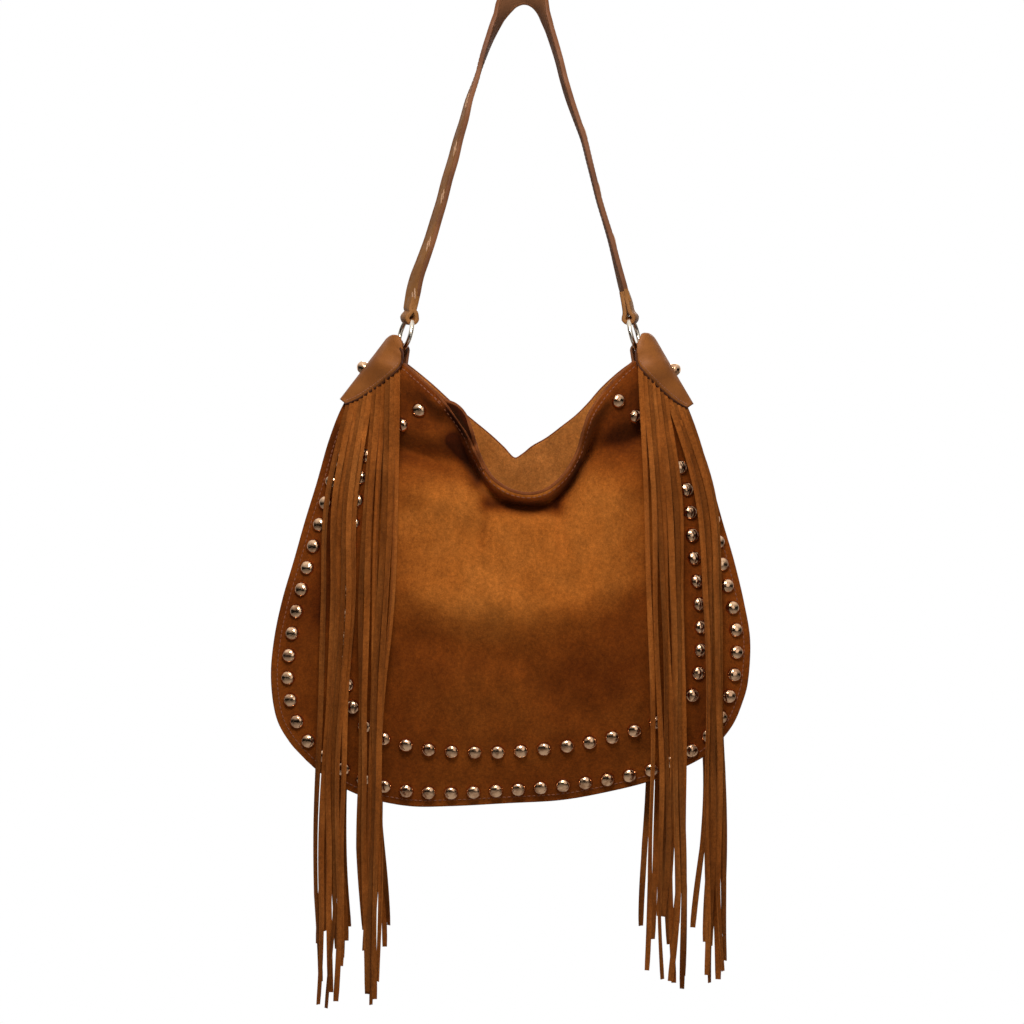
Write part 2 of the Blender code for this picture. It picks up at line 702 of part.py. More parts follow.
def build_bag():
    suede = material("tan_suede", (0.32, 0.12, 0.03), 0.95)
    leather = material("tab_leather", (0.30, 0.13, 0.045), 0.6)
    strap_leather = material("strap_leather", (0.27, 0.12, 0.05), 0.65)
    lace = material("pale_lace", (0.55, 0.33, 0.22), 0.7)
    fringe_suede = material("fringe_suede", (0.28, 0.11, 0.035), 0.9)
    ring_metal = material("pale_gold_metal", (0.78, 0.70, 0.58), 0.25, 1.0)
    stud_metal = material("rose_gold_metal", (0.80, 0.58, 0.45), 0.25, 1.0)

    crown = pivot("crown", Vector((0, 0, 0)))
    swing = pivot("bag_swing", Vector((0, 0, RING_Z)))
    build_strap(strap_leather, lace, crown)

    panels = {face: build_panel(face, suede, swing) for face in (FRONT, BACK)}
    bare = {face: surface_of(panel) for face, panel in panels.items()}
    build_studs(panels[FRONT], stud_metal, swing)
    dressed = {face: surface_of(panel) for face, panel in panels.items()}

    for side in (LEFT, RIGHT):
        centre = pivot(f"{SIDE_NAMES[side]}_ring_centre", Vector((ring_x(side), 0, RING_Z)))
        build_ring(side, ring_metal, centre)
        build_ring_loop(side, bare, leather, swing)
        build_tab(side, bare, leather, swing)
        build_side_stud(side, stud_metal, swing)
        for face in (FRONT, BACK):
            build_fringe(side, face, bare[face], dressed[face], fringe_suede, swing)


build_bag()
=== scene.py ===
"""The looks of the fringed suede bag, on the frame of its CAD part.

Outlines are given in the photo's pixels, and place() turns them into metres in the frame.
"""

import math
import random

import bmesh
import bpy
import numpy as np
from mathutils import Matrix, Vector, noise
from mathutils.bvhtree import BVHTree


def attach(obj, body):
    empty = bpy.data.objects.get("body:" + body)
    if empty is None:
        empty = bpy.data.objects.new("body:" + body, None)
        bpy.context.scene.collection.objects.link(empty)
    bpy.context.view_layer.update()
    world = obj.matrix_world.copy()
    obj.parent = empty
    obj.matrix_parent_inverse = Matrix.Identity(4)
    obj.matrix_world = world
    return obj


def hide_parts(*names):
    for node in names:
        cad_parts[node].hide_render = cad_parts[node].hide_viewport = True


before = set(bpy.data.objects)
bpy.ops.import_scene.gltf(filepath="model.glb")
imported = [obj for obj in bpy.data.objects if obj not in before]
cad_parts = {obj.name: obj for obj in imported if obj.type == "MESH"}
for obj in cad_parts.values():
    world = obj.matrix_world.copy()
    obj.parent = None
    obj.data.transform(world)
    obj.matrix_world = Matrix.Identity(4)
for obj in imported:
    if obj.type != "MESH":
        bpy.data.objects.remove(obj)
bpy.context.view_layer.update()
random.seed(7)

# Lengths are in metres
PIXEL = 0.00085
MM = 0.001
FRONT, BACK = -1, 1
LEFT, RIGHT = -1, 1
SIDES = {LEFT: "left", RIGHT: "right"}
FACES = {FRONT: "front", BACK: "back"}

SUEDE = 0.002
TAB_LEATHER = 0.0022
STRIP_LEATHER = 0.0012
RING_Z = -0.294
RING_X = {LEFT: -0.100, RIGHT: 0.0945}
RING_TURN = {LEFT: math.radians(20), RIGHT: math.radians(-14)}
RING_RADIUS = 0.014
RING_WIRE = 0.004
CROWN_RADIUS = 0.020
BELLY = {FRONT: 0.043, BACK: 0.034}
TAB_LENGTH = 0.070
TAB_WIDTH = 0.024
TAB_ABOVE_CORNER = 0.013
TAB_ROUNDING = 0.009
RING_ROOM = 0.0202
PETAL_LIFT = 0.0052
PETAL_SQUARENESS = 0.8
FOLD_CLEARANCE = 0.0024
SIDE_STUD_DOWN = 0.036
STUD_RADIUS = 0.0064
STUD_HEIGHT = 0.0048
SIDE_STUD = (0.0058, 0.0062)

# Stitches: length, width and height above the leather
SEAM_STITCH = (0.0034, 0.0011, 0.0005)
TAB_STITCH = (0.0022, 0.0008, 0.0003)
STRAP_STITCH = (0.0034, 0.0007, 0.0002)
LACE_STITCH = (0.0115, 0.0024, 0.0009)
SEAM_PITCH = 0.0042
SEAM_INSET = 0.0055
RIM_SEAM_INSET = -0.0034
SEAM_CLEAR_OF_CORNER = 0.030
BINDING_RADIUS = 0.0015


def place(x, y):
    """A point of the photo in the plane of the bag."""
    return np.array([(x - 523) * PIXEL, -(y + 12) * PIXEL])


def curve(points, steps=16):
    """A smooth curve: a function from shares of its length to places, and its length."""
    p = np.array(points, float)
    ends = np.vstack([2 * p[0] - p[1], p, 2 * p[-1] - p[-2]])
    t = np.arange(1, steps + 1)[:, None] / steps
    dense = [p[:1]]
    for a, b, c, d in zip(ends, ends[1:], ends[2:], ends[3:]):
        bend = 2 * a - 5 * b + 4 * c - d
        dense.append(0.5 * (2 * b + (c - a) * t + bend * t**2 + (3 * b - a - 3 * c + d) * t**3))
    dense = np.vstack(dense)
    run = np.concatenate([[0], np.cumsum(np.linalg.norm(np.diff(dense, axis=0), axis=1))])

    def at(share):
        s = np.clip(share, 0, 1) * run[-1]
        return np.stack([np.interp(s, run, dense[:, k]) for k in range(dense.shape[1])], -1)

    return at, float(run[-1])


def traced(*points):
    """Places of several points of the photo."""
    return [place(x, y) for x, y in points]


LEFT_LINE = traced(
    (385, 350), (362, 377), (343, 405), (329, 440), (317, 482), (305, 521), (294, 560),
    (282, 601), (274, 640), (271, 678), (276, 716), (289, 741), (306, 760),
)
RIGHT_LINE = traced(
    (654, 350), (673, 377), (688, 408), (700, 441), (711, 480), (722, 520), (734, 561),
    (744, 603), (750, 640), (748, 680), (742, 703), (733, 724), (719, 743),
)
HEM_LINE = traced(
    (306, 760), (322, 774), (346, 789), (372, 799), (410, 806), (450, 806), (508, 803),
    (560, 800), (606, 792), (650, 781), (684, 767), (706, 755), (719, 743),
)
FRONT_RIM_LINE = traced(
    (385, 350), (405, 366), (424, 383), (443, 400), (456, 406), (465, 415), (471, 429), (477, 449),
    (484, 466), (493, 479), (505, 488), (518, 493), (532, 494), (546, 490), (558, 481), (568, 469),
    (577, 452), (582, 434), (588, 416), (599, 399), (614, 381), (632, 364), (654, 350),
)
# The edge of the leather that shows under the fold left of the mouth
UNDER_LINE = traced((438, 396), (449, 409), (459, 422), (468, 436), (475, 452), (484, 470))
BACK_RIM_LINE = traced(
    (385, 350), (405, 363), (430, 383), (454, 405), (472, 420), (489, 434), (503, 447), (514, 458),
    (523, 454), (533, 446), (547, 438), (563, 426), (577, 415), (589, 403), (604, 386), (626, 367),
    (654, 350),
)
LEFT_EDGE, LEFT_LENGTH = curve(LEFT_LINE)
RIGHT_EDGE, RIGHT_LENGTH = curve(RIGHT_LINE)
HEM_EDGE, _ = curve(HEM_LINE)
RIMS = {FRONT: curve(FRONT_RIM_LINE), BACK: curve(BACK_RIM_LINE)}
UNDER_EDGE, UNDER_LENGTH = curve(UNDER_LINE)
OUTLINE, OUTLINE_LENGTH = curve(LEFT_LINE + HEM_LINE[1:-1] + RIGHT_LINE[::-1])
EDGES = {LEFT: (LEFT_EDGE, LEFT_LENGTH), RIGHT: (RIGHT_EDGE, RIGHT_LENGTH)}

# Soft folds of the front: two ends in the photo's pixels, half width in pixels, height in mm
FOLDS = (
    (396, 368, 466, 430, 17, 9.0), (390, 448, 476, 470, 15, -13.0), (396, 482, 482, 512, 17, 6.5),
    (645, 368, 590, 420, 17, 8.0), (654, 432, 590, 452, 14, -11.0), (586, 464, 564, 498, 12, -6.0),
    (655, 466, 606, 500, 18, 6.0), (488, 504, 560, 514, 10, -6.5), (450, 410, 473, 444, 4.5, -6.5),
    (476, 448, 492, 492, 7, -4.0), (495, 507, 484, 546, 6, -2.8), (556, 510, 562, 548, 6, -2.8),
    (520, 560, 610, 585, 54, 3.5), (420, 590, 500, 600, 20, 4.5), (500, 600, 570, 608, 20, 4.5),
    (590, 620, 640, 690, 24, 5.0), (400, 640, 520, 652, 22, -4.5), (520, 660, 590, 720, 18, -3.5),
    (352, 470, 336, 620, 16, -3.0), (395, 500, 388, 640, 12, 2.5), (690, 520, 706, 640, 14, -2.5),
    (440, 540, 462, 585, 10, -2.0), (560, 540, 575, 600, 8, -1.5), (330, 690, 400, 735, 13, 2.0),
    (700, 690, 640, 730, 13, 2.0), (440, 670, 470, 730, 16, 1.8), (575, 670, 560, 728, 14, 1.6),
    (505, 690, 512, 740, 12, -1.5),
)
# Painted light and shade on the front, given as the folds are, with the change in tone: painted shadows
# under the lip, in the gap left of the mouth, in the corners and creases and behind the fringes, painted
# light low on the belly, and painted shade lower down
PAINTED_LIGHT_LINES = (
    (398, 392, 452, 436, 30, -0.24), (655, 385, 612, 430, 30, -0.24), (652, 440, 600, 440, 12, -0.16),
    (454, 442, 479, 480, 8, -0.75), (488, 504, 554, 508, 8, -0.85), (559, 498, 578, 464, 7, -0.75),
    (454, 409, 470, 432, 6, -1.2), (392, 450, 474, 484, 9, -0.20), (484, 508, 482, 545, 5, -0.10),
    (560, 508, 562, 540, 5, -0.10), (455, 585, 560, 602, 22, 0.16), (520, 545, 600, 520, 30, 0.06),
    (565, 615, 640, 600, 22, -0.14), (398, 640, 640, 660, 34, -0.10),
    (372, 420, 340, 760, 20, -0.12), (338, 430, 322, 620, 10, -0.30), (668, 420, 712, 740, 22, -0.16),
)
BACK_FOLDS = (
    (420, 470, 520, 540, 22, 4.0), (640, 460, 560, 530, 22, 4.0), (400, 600, 640, 620, 50, 4.0),
    (430, 650, 600, 665, 20, -3.0), (350, 500, 330, 640, 18, -3.0), (695, 500, 712, 640, 18, -3.0),
    (500, 560, 510, 700, 14, 2.0), (440, 520, 420, 640, 12, -2.0), (600, 540, 620, 640, 12, -2.0),
)


# Materials
def graph(name, roughness, metallic=0.0):
    made = bpy.data.materials.new(name)
    made.use_nodes = True
    shader = made.node_tree.nodes["Principled BSDF"]
    shader.inputs["Roughness"].default_value = roughness
    shader.inputs["Metallic"].default_value = metallic
    return made, made.node_tree, shader


def noise_node(tree, scale, detail=3.0, rough=0.5, stretch=(1, 1, 1)):
    """Noise on Object coordinates."""
    coord = tree.nodes.new("ShaderNodeTexCoord")
    mapping = tree.nodes.new("ShaderNodeMapping")
    mapping.inputs["Scale"].default_value = stretch
    made = tree.nodes.new("ShaderNodeTexNoise")
    made.inputs["Scale"].default_value = scale
    made.inputs["Detail"].default_value = detail
    made.inputs["Roughness"].default_value = rough
    tree.links.new(coord.outputs["Object"], mapping.inputs["Vector"])
    tree.links.new(mapping.outputs["Vector"], made.inputs["Vector"])
    return made.outputs["Fac"]


def ramp(tree, value, stops):
    made = tree.nodes.new("ShaderNodeValToRGB")
    made.color_ramp.elements[0].position, made.color_ramp.elements[1].position = stops[0][0], stops[-1][0]
    for where, _ in stops[1:-1]:
        made.color_ramp.elements.new(where)
    for element, (_, colour) in zip(made.color_ramp.elements, stops):
        element.color = (*colour, 1)
    tree.links.new(value, made.inputs["Fac"])
    return made.outputs["Color"]


def greys(tree, value, *stops):
    """A ramp between levels of grey."""
    return ramp(tree, value, tuple((where, (level,) * 3) for where, level in stops))


def mix(tree, kind, amount, a, b):
    made = tree.nodes.new("ShaderNodeMix")
    made.data_type, made.blend_type = "RGBA", kind
    for socket, value in ((made.inputs[0], amount), (made.inputs[6], a), (made.inputs[7], b)):
        if isinstance(value, (int, float)):
            socket.default_value = value
        elif isinstance(value, tuple):
            socket.default_value = (*value, 1)
        else:
            tree.links.new(value, socket)
    return made.outputs[2]


def bump(tree, shader, layers):
    """Layers of bump, each a value, a strength and a depth in metres."""
    normal = None
    for value, strength, depth in layers:
        made = tree.nodes.new("ShaderNodeBump")
        made.inputs["Strength"].default_value = strength
        made.inputs["Distance"].default_value = depth
        tree.links.new(value, made.inputs["Height"])
        if normal:
            tree.links.new(normal, made.inputs["Normal"])
        normal = made.outputs["Normal"]
    tree.links.new(normal, shader.inputs["Normal"])


# Tones that multiply the suede for painted light and shade, from deep painted shade to full painted light
PAINTED_LIGHT_TONES = (
    (0.0, (0.10, 0.05, 0.025)), (0.24, (0.36, 0.25, 0.15)), (0.50, (0.56, 0.44, 0.30)),
    (0.78, (0.80, 0.72, 0.62)), (1.0, (1.06, 1.04, 1)),
)


def apply_painted_light(tree, colour):
    """Multiplies the colour by painted light and shade from a stored level per vertex, made uneven by
    noise: lighter where light falls on the belly, darker in creases, recesses and shadows.
    """
    level = tree.nodes.new("ShaderNodeAttribute")
    level.attribute_name = "painted_light_level"
    uneven = tree.nodes.new("ShaderNodeMath")
    uneven.operation = "MULTIPLY_ADD"
    tree.links.new(noise_node(tree, 24, 5, 0.65), uneven.inputs[0])
    uneven.inputs[1].default_value = 0.5
    tree.links.new(level.outputs["Fac"], uneven.inputs[2])
    return mix(tree, "MULTIPLY", 1.0, colour, ramp(tree, uneven.outputs[0], PAINTED_LIGHT_TONES))


def suede(name, dark, mid, light, stretch=(1, 1, 1), painted_light=False):
    """Napped leather: brushed patches, fine fibres and a soft sheen."""
    made, tree, shader = graph(name, 0.93)
    patches = ramp(tree, noise_node(tree, 14, 5, 0.62, stretch), ((0.26, dark), (0.50, mid), (0.76, light)))
    strokes = greys(tree, noise_node(tree, 75, 4, 0.6, (1, 1, 0.5)), (0.3, 0.62), (0.7, 1.18))
    brushed = mix(tree, "MULTIPLY", 0.55, patches, strokes)
    fibres = noise_node(tree, 900, 2, 0.7)
    grain = greys(tree, fibres, (0.32, 0.66), (0.68, 1.25))
    flecks = greys(tree, noise_node(tree, 340, 4, 0.65), (0.34, 0.70), (0.66, 1.22))
    brushed = mix(tree, "MULTIPLY", 0.7, brushed, flecks)
    # Painted light and shade from the panels' stored levels
    if painted_light:
        brushed = apply_painted_light(tree, brushed)
    tree.links.new(mix(tree, "MULTIPLY", 0.6, brushed, grain), shader.inputs["Base Color"])
    shader.inputs["Sheen Weight"].default_value = 0.10
    shader.inputs["Sheen Roughness"].default_value = 0.45
    shader.inputs["Sheen Tint"].default_value = (1.0, 0.50, 0.20, 1)
    shader.inputs["Specular IOR Level"].default_value = 0.08
    bump(tree, shader, ((noise_node(tree, 120, 4, 0.6), 0.35, 0.0008), (fibres, 0.5, 0.0003)))
    return made


def smooth_leather(name, dark, light, roughness):
    made, tree, shader = graph(name, roughness)
    shader.inputs["Specular IOR Level"].default_value = 0.3
    clouds = ramp(tree, noise_node(tree, 38, 5, 0.6), ((0.32, dark), (0.72, light)))
    pores = noise_node(tree, 1100, 2, 0.6)
    spots = greys(tree, pores, (0.36, 0.74), (0.6, 1.1))
    tree.links.new(mix(tree, "MULTIPLY", 0.5, clouds, spots), shader.inputs["Base Color"])
    rub = greys(tree, noise_node(tree, 90, 4, 0.6), (0.3, roughness - 0.12), (0.7, roughness + 0.1))
    tree.links.new(rub, shader.inputs["Roughness"])
    bump(tree, shader, ((noise_node(tree, 260, 4, 0.65), 0.3, 0.0005), (pores, 0.35, 0.0002)))
    return made


def thread(name, colour):
    made, tree, shader = graph(name, 0.75)
    tone = ramp(tree, noise_node(tree, 700, 3), ((0.3, tuple(0.7 * c for c in colour)), (0.7, colour)))
    tree.links.new(tone, shader.inputs["Base Color"])
    bump(tree, shader, ((noise_node(tree, 1500, 2, 0.5, (1, 1, 0.4)), 0.4, 0.0002),))
    return made


def plated(name, colour, dull, roughness, beaten=0.05):
    """Polished plating with faint wear."""
    made, tree, shader = graph(name, roughness, 1.0)
    tone = ramp(tree, noise_node(tree, 160, 5, 0.6), ((0.28, dull), (0.55, colour)))
    tree.links.new(tone, shader.inputs["Base Color"])
    wear = noise_node(tree, 300, 3, 0.55)
    fine = greys(tree, wear, (0.35, roughness * 0.7), (0.75, roughness * 1.9))
    tree.links.new(fine, shader.inputs["Roughness"])
    bump(tree, shader, ((wear, beaten, 0.0004),))
    return made


# The bag's suede carries painted light and shade
TAN = suede("tan_suede", (0.31, 0.080, 0.009), (0.40, 0.116, 0.016), (0.48, 0.155, 0.026), painted_light=True)
CUT_EDGE = smooth_leather("suede_edge", (0.12, 0.04, 0.008), (0.24, 0.09, 0.02), 0.85)
STRIP_TONES = ((0.19, 0.048, 0.006), (0.29, 0.082, 0.013), (0.40, 0.132, 0.026))
STRIPS = [
    suede(name, *(tuple(level * c for c in tone) for tone in STRIP_TONES), stretch=(3, 3, 0.6))
    for name, level in (("fringe_suede", 1.0), ("fringe_suede_dark", 0.72), ("fringe_suede_light", 1.14))
]
BINDING = smooth_leather("rim_edge", (0.14, 0.034, 0.007), (0.26, 0.072, 0.015), 0.95)
# The inner face: lighter than the outer suede, partly as a flesh side is and partly as painted light where
# the mouth lies in shade
LIGHTENED_INSIDE = suede("flesh_side", (0.38, 0.120, 0.022), (0.48, 0.162, 0.032), (0.56, 0.205, 0.048))
TAB = smooth_leather("tab_leather", (0.25, 0.076, 0.011), (0.37, 0.124, 0.023), 0.62)
TAB_EDGE = smooth_leather("tab_edge", (0.06, 0.016, 0.005), (0.13, 0.038, 0.010), 0.6)
STRAP = smooth_leather("strap_leather", (0.26, 0.100, 0.022), (0.41, 0.170, 0.042), 0.66)
STRAP_INSIDE = smooth_leather("strap_flesh_side", (0.13, 0.048, 0.017), (0.23, 0.094, 0.037), 0.85)
STRAP_EDGE = smooth_leather("strap_edge", (0.14, 0.046, 0.014), (0.26, 0.094, 0.032), 0.6)
SEAM = thread("brown_thread", (0.27, 0.080, 0.030))
PINK_SEAM = thread("light_thread", (0.40, 0.15, 0.07))
LACE = thread("pale_lace", (0.58, 0.33, 0.19))
RING_METAL = plated("pale_gold_metal", (0.90, 0.80, 0.66), (0.70, 0.60, 0.46), 0.16)
STUD_METAL = plated("rose_gold_metal", (0.80, 0.50, 0.30), (0.34, 0.15, 0.07), 0.09, 1.0)


# Building tools
def finished(bm, name, finishes, body="bag", angle=50):
    """Turns a bmesh into a piece of the scene that moves with a body."""
    bmesh.ops.recalc_face_normals(bm, faces=bm.faces)
    mesh = bpy.data.meshes.new(name)
    bm.to_mesh(mesh)
    bm.free()
    mesh.shade_smooth()
    mesh.set_sharp_from_angle(angle=math.radians(angle))
    for finish in finishes:
        mesh.materials.append(finish)
    made = bpy.data.objects.new(name, mesh)
    bpy.context.collection.objects.link(made)
    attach(made, body)
    return made


def thicken(made, thickness, inner=0):
    """Gives a surface its thickness; the cut edges take the second material."""
    wall = made.modifiers.new("Wall", "SOLIDIFY")
    wall.thickness, wall.offset = thickness, 0
    wall.material_offset_rim, wall.material_offset = 1, inner


def sheet(columns, rows, points):
    """A grid with its vertices at points, an array of rows by columns by three."""
    bm = bmesh.new()
    bmesh.ops.create_grid(bm, x_segments=columns, y_segments=rows, size=0.5)
    for vertex in bm.verts:
        i, j = round((vertex.co.x + 0.5) * columns), round((0.5 - vertex.co.y) * rows)
        vertex.co = points[j][i]
    return bm


def around(count):
    """Angles of as many points round a circle."""
    return np.linspace(0, math.tau, count + 1)[:-1]


def oval(here, across, up, wide, high):
    """A small closed ring of points round a place."""
    return [here + wide * math.cos(a) * across + high * math.sin(a) * up for a in around(8)]


def sweep(bm, rings, finish=0):
    """A capped skin over closed rings of points, each with as many points as the others."""
    part = bmesh.new()
    columns, rows = len(rings[0]), len(rings) - 1
    bmesh.ops.create_grid(part, x_segments=columns, y_segments=rows, size=0.5)
    for vertex in part.verts:
        i, j = round((vertex.co.x + 0.5) * columns), round((0.5 - vertex.co.y) * rows)
        vertex.co = rings[j][i % columns]
    bmesh.ops.remove_doubles(part, verts=part.verts, dist=1e-6)
    bmesh.ops.holes_fill(part, edges=[e for e in part.edges if e.is_boundary], sides=0)
    for face in part.faces:
        face.material_index = finish
    join(bm, part)


def join(bm, part):
    """Moves all of one bmesh into another."""
    mesh = bpy.data.meshes.new("part")
    part.to_mesh(mesh)
    part.free()
    bm.from_mesh(mesh)
    bpy.data.meshes.remove(mesh)


def tree_of(*objs):
    """A search tree over the finished shapes of pieces."""
    bpy.context.view_layer.update()
    bm = bmesh.new()
    for obj in objs:
        bm.from_object(obj, bpy.context.evaluated_depsgraph_get())
    tree = BVHTree.FromBMesh(bm)
    bm.free()
    return tree


def hit(tree, flat, face):
    """Where a line from in front of, or behind, the bag meets a tree, and the normal there."""
    where, normal, _, _ = tree.ray_cast(Vector((flat[0], face, flat[1])), Vector((0, -face, 0)))
    return where, normal


def space(flat, y):
    """A place in the plane of the bag, moved to depth y."""
    return Vector((flat[0], y, flat[1]))


# Panels
def folds(flat, lines):
    """The sum of soft ridges and grooves at places in the plane of the bag."""
    total = np.zeros(flat.shape[:-1])
    for x1, y1, x2, y2, width, height in lines:
        a, b = place(x1, y1), place(x2, y2)
        along = b - a
        t = np.clip(((flat - a) @ along) / (along @ along), 0, 1)
        off = np.linalg.norm(flat - a - t[..., None] * along, axis=-1)
        total += height * np.exp(-((off / (width * PIXEL)) ** 2))
    return total


# Shares of the panel's width and height: the sewn flange, the fullest level and the mouth's stretch
FLANGE_ACROSS, FLANGE_DOWN = 0.98, 0.99
FULLEST = 0.42
MOUTH_STRETCH = 0.15
MOUTH_STAND = 0.62
BELLY_ROUNDING, MOUTH_ROUNDING = 2.4, 5.0


def bulge(u, v):
    """How far a panel stands out, as a share of its belly: none on the sewn flange."""
    across = np.minimum(1, np.abs(2 * u - 1) / FLANGE_ACROSS)
    down = np.minimum(1, v / FLANGE_DOWN)
    upper = MOUTH_STAND + (1 - MOUTH_STAND) * np.sin(np.pi / 2 * np.minimum(1, down / FULLEST))
    lower = 1 - (np.maximum(0, down - FULLEST) / (1 - FULLEST)) ** 1.5
    rounding = BELLY_ROUNDING + MOUTH_ROUNDING * np.maximum(0, 1 - v / MOUTH_STRETCH)
    return (1 - across**rounding) * np.where(down < FULLEST, upper, lower)


LIP_TURN, LIP_DROP, LIP_SOFTNESS = 0.0125, 0.0080, 0.0011
HOLLOW_DEPTH, HOLLOW_DROP, HOLLOW_WIDTH = 0.0090, 0.016, 0.0075
PANEL_HEIGHT = 0.30


def lip(u, v):
    """The front rim turns forward in the middle, with a hollow under it."""
    middle = np.clip((0.5 - np.abs(u - 0.5)) / 0.16 - 0.6, 0, 1)
    down = v * PANEL_HEIGHT
    turned = LIP_TURN / (1 + np.exp((down - LIP_DROP) / LIP_SOFTNESS))
    return middle * (turned - HOLLOW_DEPTH * np.exp(-(((down - HOLLOW_DROP) / HOLLOW_WIDTH) ** 2)))


RIPPLE_HEIGHT = 0.0014
RIPPLES = ((34, 28, 1.0), (95, 95, 0.35))


def ripple(x, z, face):
    """Small unevenness of the leather, from broad and fine noise."""
    return sum(share * noise.noise(Vector((x * wide, z * high, face))) for wide, high, share in RIPPLES)


def panel_points(face, columns, rows):
    """A grid of places between the four edges of a panel, stood out by its belly and folds."""
    u, v = np.linspace(0, 1, columns + 1)[None, :], np.linspace(0, 1, rows + 1)[:, None] ** 1.15
    top, foot = RIMS[face][0](u[0])[None], HEM_EDGE(u[0])[None]
    left, right = LEFT_EDGE(v[:, 0])[:, None], RIGHT_EDGE(v[:, 0])[:, None]
    p, q = u[..., None], v[..., None]
    corners = (1 - p) * (1 - q) * LEFT_LINE[0] + p * (1 - q) * RIGHT_LINE[0]
    corners = corners + (1 - p) * q * LEFT_LINE[-1] + p * q * RIGHT_LINE[-1]
    flat = (1 - q) * top + q * foot + (1 - p) * left + p * right - corners
    stand = bulge(u, v)
    folded = MM * folds(flat, FOLDS if face == FRONT else BACK_FOLDS)
    depth = BELLY[face] * stand + folded * np.minimum(1, 3 * stand)
    if face == FRONT:
        depth = depth + lip(u, v)
    uneven = np.array([[ripple(x, z, face) for x, z in row] for row in flat])
    depth = depth + RIPPLE_HEIGHT * uneven * np.minimum(1, 2.5 * stand + 0.12)
    depth = np.maximum(depth, 0) + SUEDE / 2 + 0.0002
    return np.stack([flat[..., 0], face * depth, flat[..., 1]], -1)


# A painted pool of light on the belly, fading to painted shade towards the edges: its centre and half
# sizes, its tone and the way it fades
LIT_BELLY_CENTRE = place(514, 541)
LIT_BELLY_RADII = np.array((150, 104)) * PIXEL
EDGE_SHADE_LEVEL, LIT_BELLY_LEVEL = 0.20, 0.56
LIT_BELLY_FADE, LIT_BELLY_SOFTNESS = 0.92, 0.11


def painted_light_levels(face, flat):
    """Painted light and shade at places on a panel: painted light on the belly, painted shade towards the
    edge, and on the front the listed lines of painted shade and light.
    """
    off = np.linalg.norm((flat - LIT_BELLY_CENTRE) / LIT_BELLY_RADII, axis=-1)
    level = EDGE_SHADE_LEVEL + LIT_BELLY_LEVEL / (1 + np.exp((off - LIT_BELLY_FADE) / LIT_BELLY_SOFTNESS))
    return level + (folds(flat, PAINTED_LIGHT_LINES) if face == FRONT else 0)


def build_panel(face):
    """A panel with its suede outside, carrying painted light and shade, and a lighter flesh side inside,
    partly painted light.
    """
    columns, rows = 220, 170
    points = panel_points(face, columns, rows)
    made = finished(sheet(columns, rows, points), f"{FACES[face]}_suede", (TAN, CUT_EDGE, LIGHTENED_INSIDE))
    places = np.array([v.co for v in made.data.vertices])[:, [0, 2]]
    # Stores the painted light and shade as a level per vertex
    made.data.attributes.new("painted_light_level", "FLOAT", "POINT").data.foreach_set("value", painted_light_levels(face, places))
    thicken(made, SUEDE, 2)
    middle = made.data.polygons[len(made.data.polygons) // 2]
    if middle.normal.y * face < 0:
        made.data.flip_normals()
    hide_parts(f"{FACES[face]}_panel")
    return made


panels = {face: build_panel(face) for face in (FRONT, BACK)}
bare = {face: tree_of(panel) for face, panel in panels.items()}


# Stitches and studs
def stitch_row(bm, points, outs, length, width, proud):
    """Thread stitches, one between each pair of neighbouring points."""
    for a, b, out in zip(points, points[1:], outs):
        along = (b - a).normalized()
        side = out.cross(along).normalized()
        axes = Matrix((along, side, along.cross(side))).transposed().to_4x4()
        size = Matrix.Diagonal((length / 2, width / 2, proud, 1))
        middle = Matrix.Translation((a + b) / 2)
        bmesh.ops.create_icosphere(bm, subdivisions=2, radius=1, matrix=middle @ axes @ size)


def on_panel(tree, line, length, inset, face, first=0.0, last=1.0):
    """Places along a line, moved in by inset and laid on a panel, and the panel's normals."""
    count = max(2, round(length * (last - first) / SEAM_PITCH))
    points, outs = [], []
    for i in range(count + 1):
        share = first + (last - first) * i / count
        ahead = line(share + 0.002) - line(share - 0.002)
        inward = np.array([-ahead[1], ahead[0]]) / np.linalg.norm(ahead)
        where, normal = hit(tree, line(share) + inset * inward, face)
        if where is not None:
            points.append(where)
            outs.append(normal)
    return points, outs


# Shares of each rim that carry a seam; the front one is hidden where its leather folds under
RIM_SEAMS = {FRONT: ((0.04, 0.19), (0.38, 0.96)), BACK: ((0.04, 0.96),)}


def build_seams():
    """The stitches along the outline and along the mouth."""
    bm = bmesh.new()
    clear = SEAM_CLEAR_OF_CORNER / OUTLINE_LENGTH
    for face in (FRONT, BACK):
        rows = [(OUTLINE, OUTLINE_LENGTH, SEAM_INSET, clear, 1 - clear)]
        rows += [(*RIMS[face], RIM_SEAM_INSET, first, last) for first, last in RIM_SEAMS[face]]
        if face == FRONT:
            rows.append((UNDER_EDGE, UNDER_LENGTH, RIM_SEAM_INSET, 0.0, 1.0))
        for line, length, inset, first, last in rows:
            points, outs = on_panel(bare[face], line, length, inset, face, first, last)
            stitch_row(bm, points, outs, *SEAM_STITCH)
    made = finished(bm, "seam_stitches", (SEAM,))


build_seams()


